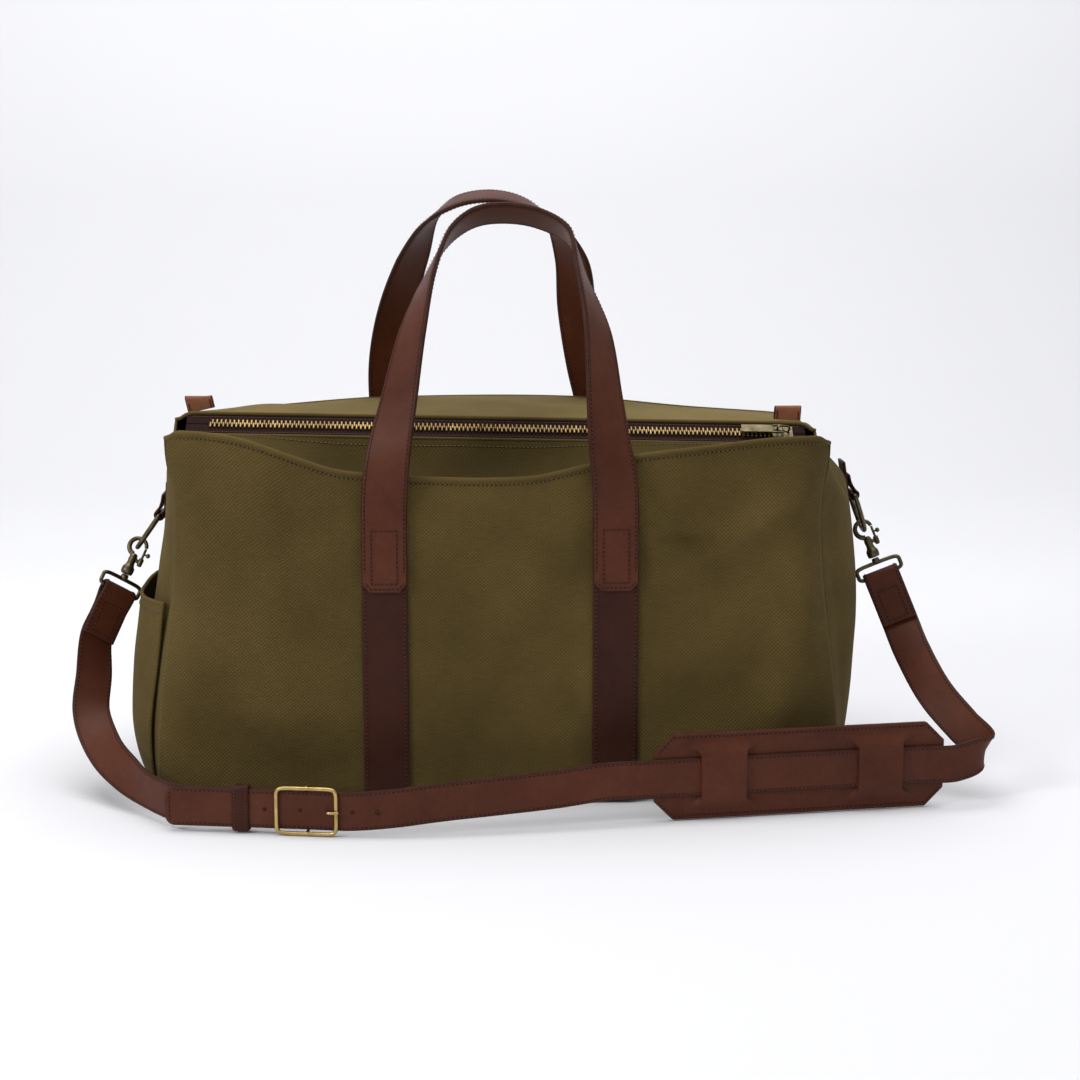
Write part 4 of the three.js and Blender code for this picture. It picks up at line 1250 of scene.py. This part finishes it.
def strap_long():
    stations = turn_over_bar("right") + [
        (327, -44, 99, 0.8, -0.1, 0.5), (339, -78, 73, 0.75, -0.1, 0.58), (355, -105, 54, 0.6, -0.1, 0.75),
        (367, -127, 41, 0.3, -0.05, 0.92)]
    stations += [(x, pad_y(x), PAD["z"], 0, 0, 1) for x in (345, 320, 240, 160, 100, 76)]
    stations += [(40, -184, 30, 0, 0, 1), (0, -190.5, 27.5, 0, 0, 1), (-45, -196, 24.5, 0, 0, 1),
                 (-80, -198.5, 21, 0, 0, 1)]
    stations += [(x, buckle_y(x), GROUND_Z, 0, 0, 1) for x in (-110, -142, -180, -212, -246)]
    frames = ribbon_frames(stations, 760)
    total = path_length([f[0] for f in frames])

    def tip(t):
        left = (1 - t) * total
        corner = 7 * MM
        if left >= corner:
            return 1.0
        cut = corner - math.sqrt(max(0.0, corner**2 - (corner - left) ** 2))
        return 1 - cut / (STRAP_W / 2)

    band = sweep_band("strap_long_band", frames, STRAP_W, LEATHER, [LEATHER_BROWN, EDGE], width_at=tip)
    finished(band, "strap", "leather", "strap_long")
    lines = strap_lines(frames, frames[:-4])
    lines += [stitch_across(frames[-4], 11 * MM, face, STITCH_LIFT) for face in (1, -1)]
    sewn("strap_long_stitching", lines, "strap")
    hole_shade_discs = []
    # Each punch hole is a flat disc of the dark edge leather on the strap's face: partly the waxed cut edge,
    # partly painted shade for the hole's depth.
    hole = in_mm([(0.02, -0.1), (1.5, -0.1), (1.6, 0.05), (0.02, 0.06)])
    for offset in HOLES:
        x = BUCKLE["x"] + offset
        place = along_strap(x, buckle_y(x) - LEATHER / MM / 2 - 0.12, GROUND_Z, BUCKLE["heading"])
        hole_shade_discs.append(lathe(f"hole_{offset}", hole, place @ Matrix.Rotation(math.pi / 2, 4, "X"), EDGE, 20))
    finished(joined("billet_holes", hole_shade_discs), "strap", "leather")


def shoulder_pad():
    """A broad pad with cut corners behind the strap, and two bridges of the same leather across it."""
    place = along_strap(PAD["x"], PAD["y"], PAD["z"], PAD["slope"])
    half_l, half_h, chamfer = 112 * MM, 32.5 * MM, 14 * MM
    space, thick = LEATHER / 2 + GAP, 3 * MM
    bridges = (-60 * MM, 61 * MM)
    reach = 17 * MM
    rows = 61

    even = [lerp(-half_l, half_l, k / 150) for k in range(151)]
    steps = (-0.2, 0.0, 0.15, 0.35, 0.6)
    close = [c + s * (reach + d * MM) for c in bridges for s in (-1, 1) for d in steps]
    columns = sorted(set(even + close))
    slit = STRAP_W / 2 + 1.2 * MM

    def raised(x, z):
        """How far the leather rises over the strap: at once across each slit, softly beyond its ends."""
        spread = lerp(0.6 * MM, 22 * MM, smoothstep(abs(z), slit - 1 * MM, half_h - 4 * MM))
        tall = 1 - smoothstep(abs(z), slit - 1 * MM, half_h - 3 * MM)
        rise = 0.0
        for centre in bridges:
            rise = max(rise, 1 - smoothstep(abs(x - centre), reach, reach + spread))
        return rise * tall

    def outline(x):
        return half_h - max(0.0, abs(x) - (half_l - chamfer))

    verts, uvs = [], []
    for j in range(rows):
        for x in columns:
            z = (2 * j / (rows - 1) - 1) * outline(x)
            lift = raised(x, z) * (2 * space + LEATHER)
            verts.append(place @ Vector((x, space - lift, z)))
            uvs.append((x / MM, z / MM))
    sheet = new_object("pad_face", verts, grid_faces(len(columns), rows), [LEATHER_BROWN], uvs=uvs)
    thicken(sheet, thick)
    finished(sheet, "pad", "leather", "shoulder_pad")
    edge = []
    for sign in (-1, 1):
        line = []
        for k in range(141):
            x = lerp(-half_l + 3 * MM, half_l - 3 * MM, k / 140)
            z = sign * (outline(x) - 2.8 * MM)
            line.append((place @ Vector((x, space - 0.35 * MM, z)), place.to_3x3() @ Vector((0, -1, 0))))
        edge.append(line)
    sewn("pad_stitching", edge, "pad")


def buckle():
    place = along_strap(BUCKLE["x"], BUCKLE["y"], GROUND_Z, BUCKLE["heading"])
    half_h = STRAP_W / 2 + 2.4 * MM
    front = -(LEATHER / 2 + GAP + 1.5 * MM)
    back = BUCKLE["bar_depth"] * MM
    outline = [place @ Vector((x, front, z)) for x, z in superellipse(22 * MM, half_h, 0.22, 120)]
    rim = tube("buckle_rim", outline, 1.5 * MM, BRASS, closed=True, sides=14)
    posts = []
    for s in (-1, 1):
        run = [place @ Vector((0, y, s * half_h)) for y in (front, 0, back)]
        posts.append(tube(f"buckle_post_{s}", run, 1.4 * MM, BRASS))
    bar = tube("buckle_bar", [place @ Vector((0, back, z * half_h)) for z in (-1, 0, 1)], 1.2 * MM, BRASS)
    finished(joined("buckle_wire", [rim, *posts, bar]), "strap", "brass", "buckle_frame")
    tongue_y = front - 2.9 * MM
    route = [(1.8, 4.0), (6, 4.0), (11, 3.9), (13.6, 3.0), (14.6, 0.0), (15.2, -3.0), (16.6, tongue_y / MM),
             (20, tongue_y / MM - 0.2), (24.2, tongue_y / MM + 0.6)]
    spline = Spline([(x, y, 0) for x, y in route])
    points = [place @ (spline.at(k / 40) * MM) for k in range(41)]
    prong = tube("prong_rod", points, lambda t: lerp(1.15, 1.0, t) * MM, BRASS, sides=12)
    curl = [place @ Vector((x, back + y, 0)) for x, y in superellipse(1.75 * MM, 1.75 * MM, 1, 24)]
    collar = tube("prong_curl", curl, 0.5 * MM, BRASS, closed=True, sides=8)
    finished(joined("prong", [prong, collar]), "prong", "brass", "buckle_prong")


def keeper():
    x = -190.0
    place = along_strap(x, buckle_y(x) + (LEATHER / MM + 1.4) / 2, GROUND_Z, BUCKLE["heading"])
    half_y, half_z = 4.35 * MM, STRAP_W / 2 + 1.6 * MM
    frames = []
    count = 64
    ring = [Vector((0, y, z)) for z, y in superellipse(half_z, half_y, 0.3, count)]
    turn = place.to_3x3()
    for k in range(count + 1):
        point = ring[k % count]
        along = (ring[(k + 1) % count] - ring[(k - 1) % count]).normalized()
        out = point.normalized()
        out = (out - along * out.dot(along)).normalized()
        frames.append((place @ point, turn @ Vector((1, 0, 0)), turn @ out))
    band = sweep_band("keeper_band", frames, 12.5 * MM, 1.7 * MM, [LEATHER_DARK, EDGE])
    finished(band, "keeper", "leather", "strap_keeper")
    lines = edge_lines(frames, 12.5 * MM, 2.0 * MM, 1.9 * MM)
    sewn("keeper_stitching", lines, "keeper", pitch=2.4 * MM)


# ---- what the frame already shows well ----------------------------------------------------------------
def carried_over():
    """CAD nodes that stay: they only get better materials."""
    # The lining takes the darker canvas copy, painted shade for the inside of the bag.
    looks = {"zip_slider": ANTIQUE, "zip_pull": ANTIQUE, "base_board": LEATHER_TAN, "lining": CANVAS_INNER}
    for name, material in looks.items():
        node = frame["nodes"][name]
        node.data.materials.clear()
        node.data.materials.append(material)


# ---- stage --------------------------------------------------------------------------------------------
def stage():
    n = Nodes("floor_painted_light_and_shade")
    parts = n.add("ShaderNodeSeparateXYZ")
    n.link(n.position(), parts.inputs[0])
    # Painted light and shade: the floor and sweep are lighter in front of the bag and up the back, darker
    # behind the bag.
    depth = n.math("MULTIPLY_ADD", parts.outputs["Y"], 1 / 8.6, 6 / 8.6)
    shades = [(0.60, 0.785), (0.72, 0.755), (0.81, 0.71), (0.965, 0.725), (1.0, 0.82)]
    colour = n.ramp(depth, [(at, (v, v, v * 1.026)) for at, v in shades])
    n.shade(Base_Color=colour, Roughness=0.9, Specular_IOR_Level=0.1)
    span, back, bend = 6.0, 1.4, 1.2
    profile = [(-span, 0.0), (back, 0.0)]
    angles = np.linspace(0.1, math.pi / 2, 14)
    profile += [(back + bend * math.sin(a), bend - bend * math.cos(a)) for a in angles]
    profile += [(back + bend, span)]
    verts = [(x, y, z) for y, z in profile for x in (-span, span)]
    floor = new_object("studio_sweep", verts, grid_faces(2, len(profile)), [n.material])

    world = bpy.data.worlds.new("studio")
    bpy.context.scene.world = world
    world.use_nodes = True
    sky = world.node_tree.nodes["Background"].inputs
    sky["Color"].default_value = (0.965, 0.97, 1.0, 1)
    sky["Strength"].default_value = 0.53

    def softbox(name, place, target, size, power):
        light = bpy.data.lights.new(name, "AREA")
        light.shape = "RECTANGLE"
        light.size, light.size_y = size
        light.energy = power
        lamp = put(name, light)
        lamp.location = place
        lamp.rotation_euler = (Vector(target) - Vector(place)).to_track_quat("-Z", "Y").to_euler()

    softbox("overhead", (0.0, 0.1, 2.3), (0, 0, 0), (2.6, 1.6), 44)
    softbox("front_fill", (-1.9, -1.5, 1.5), (0, 0, 0.15), (0.7, 0.6), 25)
    softbox("sweep_wash", (0.0, 1.2, 2.2), (0, 2.4, 1.0), (3.0, 1.0), 17)


def camera():
    sensor, focal_pixels, picture = 36.0, 2226.0, 1080.0
    data = bpy.data.cameras.new("camera")
    data.sensor_width = sensor
    data.lens = focal_pixels / picture * sensor
    data.clip_start = 0.05
    data.clip_end = 50
    lens = put("camera", data)
    lens.location = (-0.033, -1.75, 0.491)
    lens.rotation_euler = (math.radians(80), 0, math.radians(-2.2))
    bpy.context.scene.camera = lens


camera()
canvas_body()
seam_rolls()
body_stitching()
end_pocket()
for set_name, set_side in (("front", -1), ("rear", 1)):
    wall_strips(set_name, set_side)
    handle(set_name, set_side)
zip_pieces()
zip_end_tabs()
for clip_name in CLIPS:
    ring_tab(clip_name)
    d_ring(clip_name)
    snap_hook(clip_name)
    swivel_loop(clip_name)
strap_short()
strap_long()
shoulder_pad()
buckle()
keeper()
carried_over()
stage()
bpy.context.scene.view_settings.view_transform = "Standard"
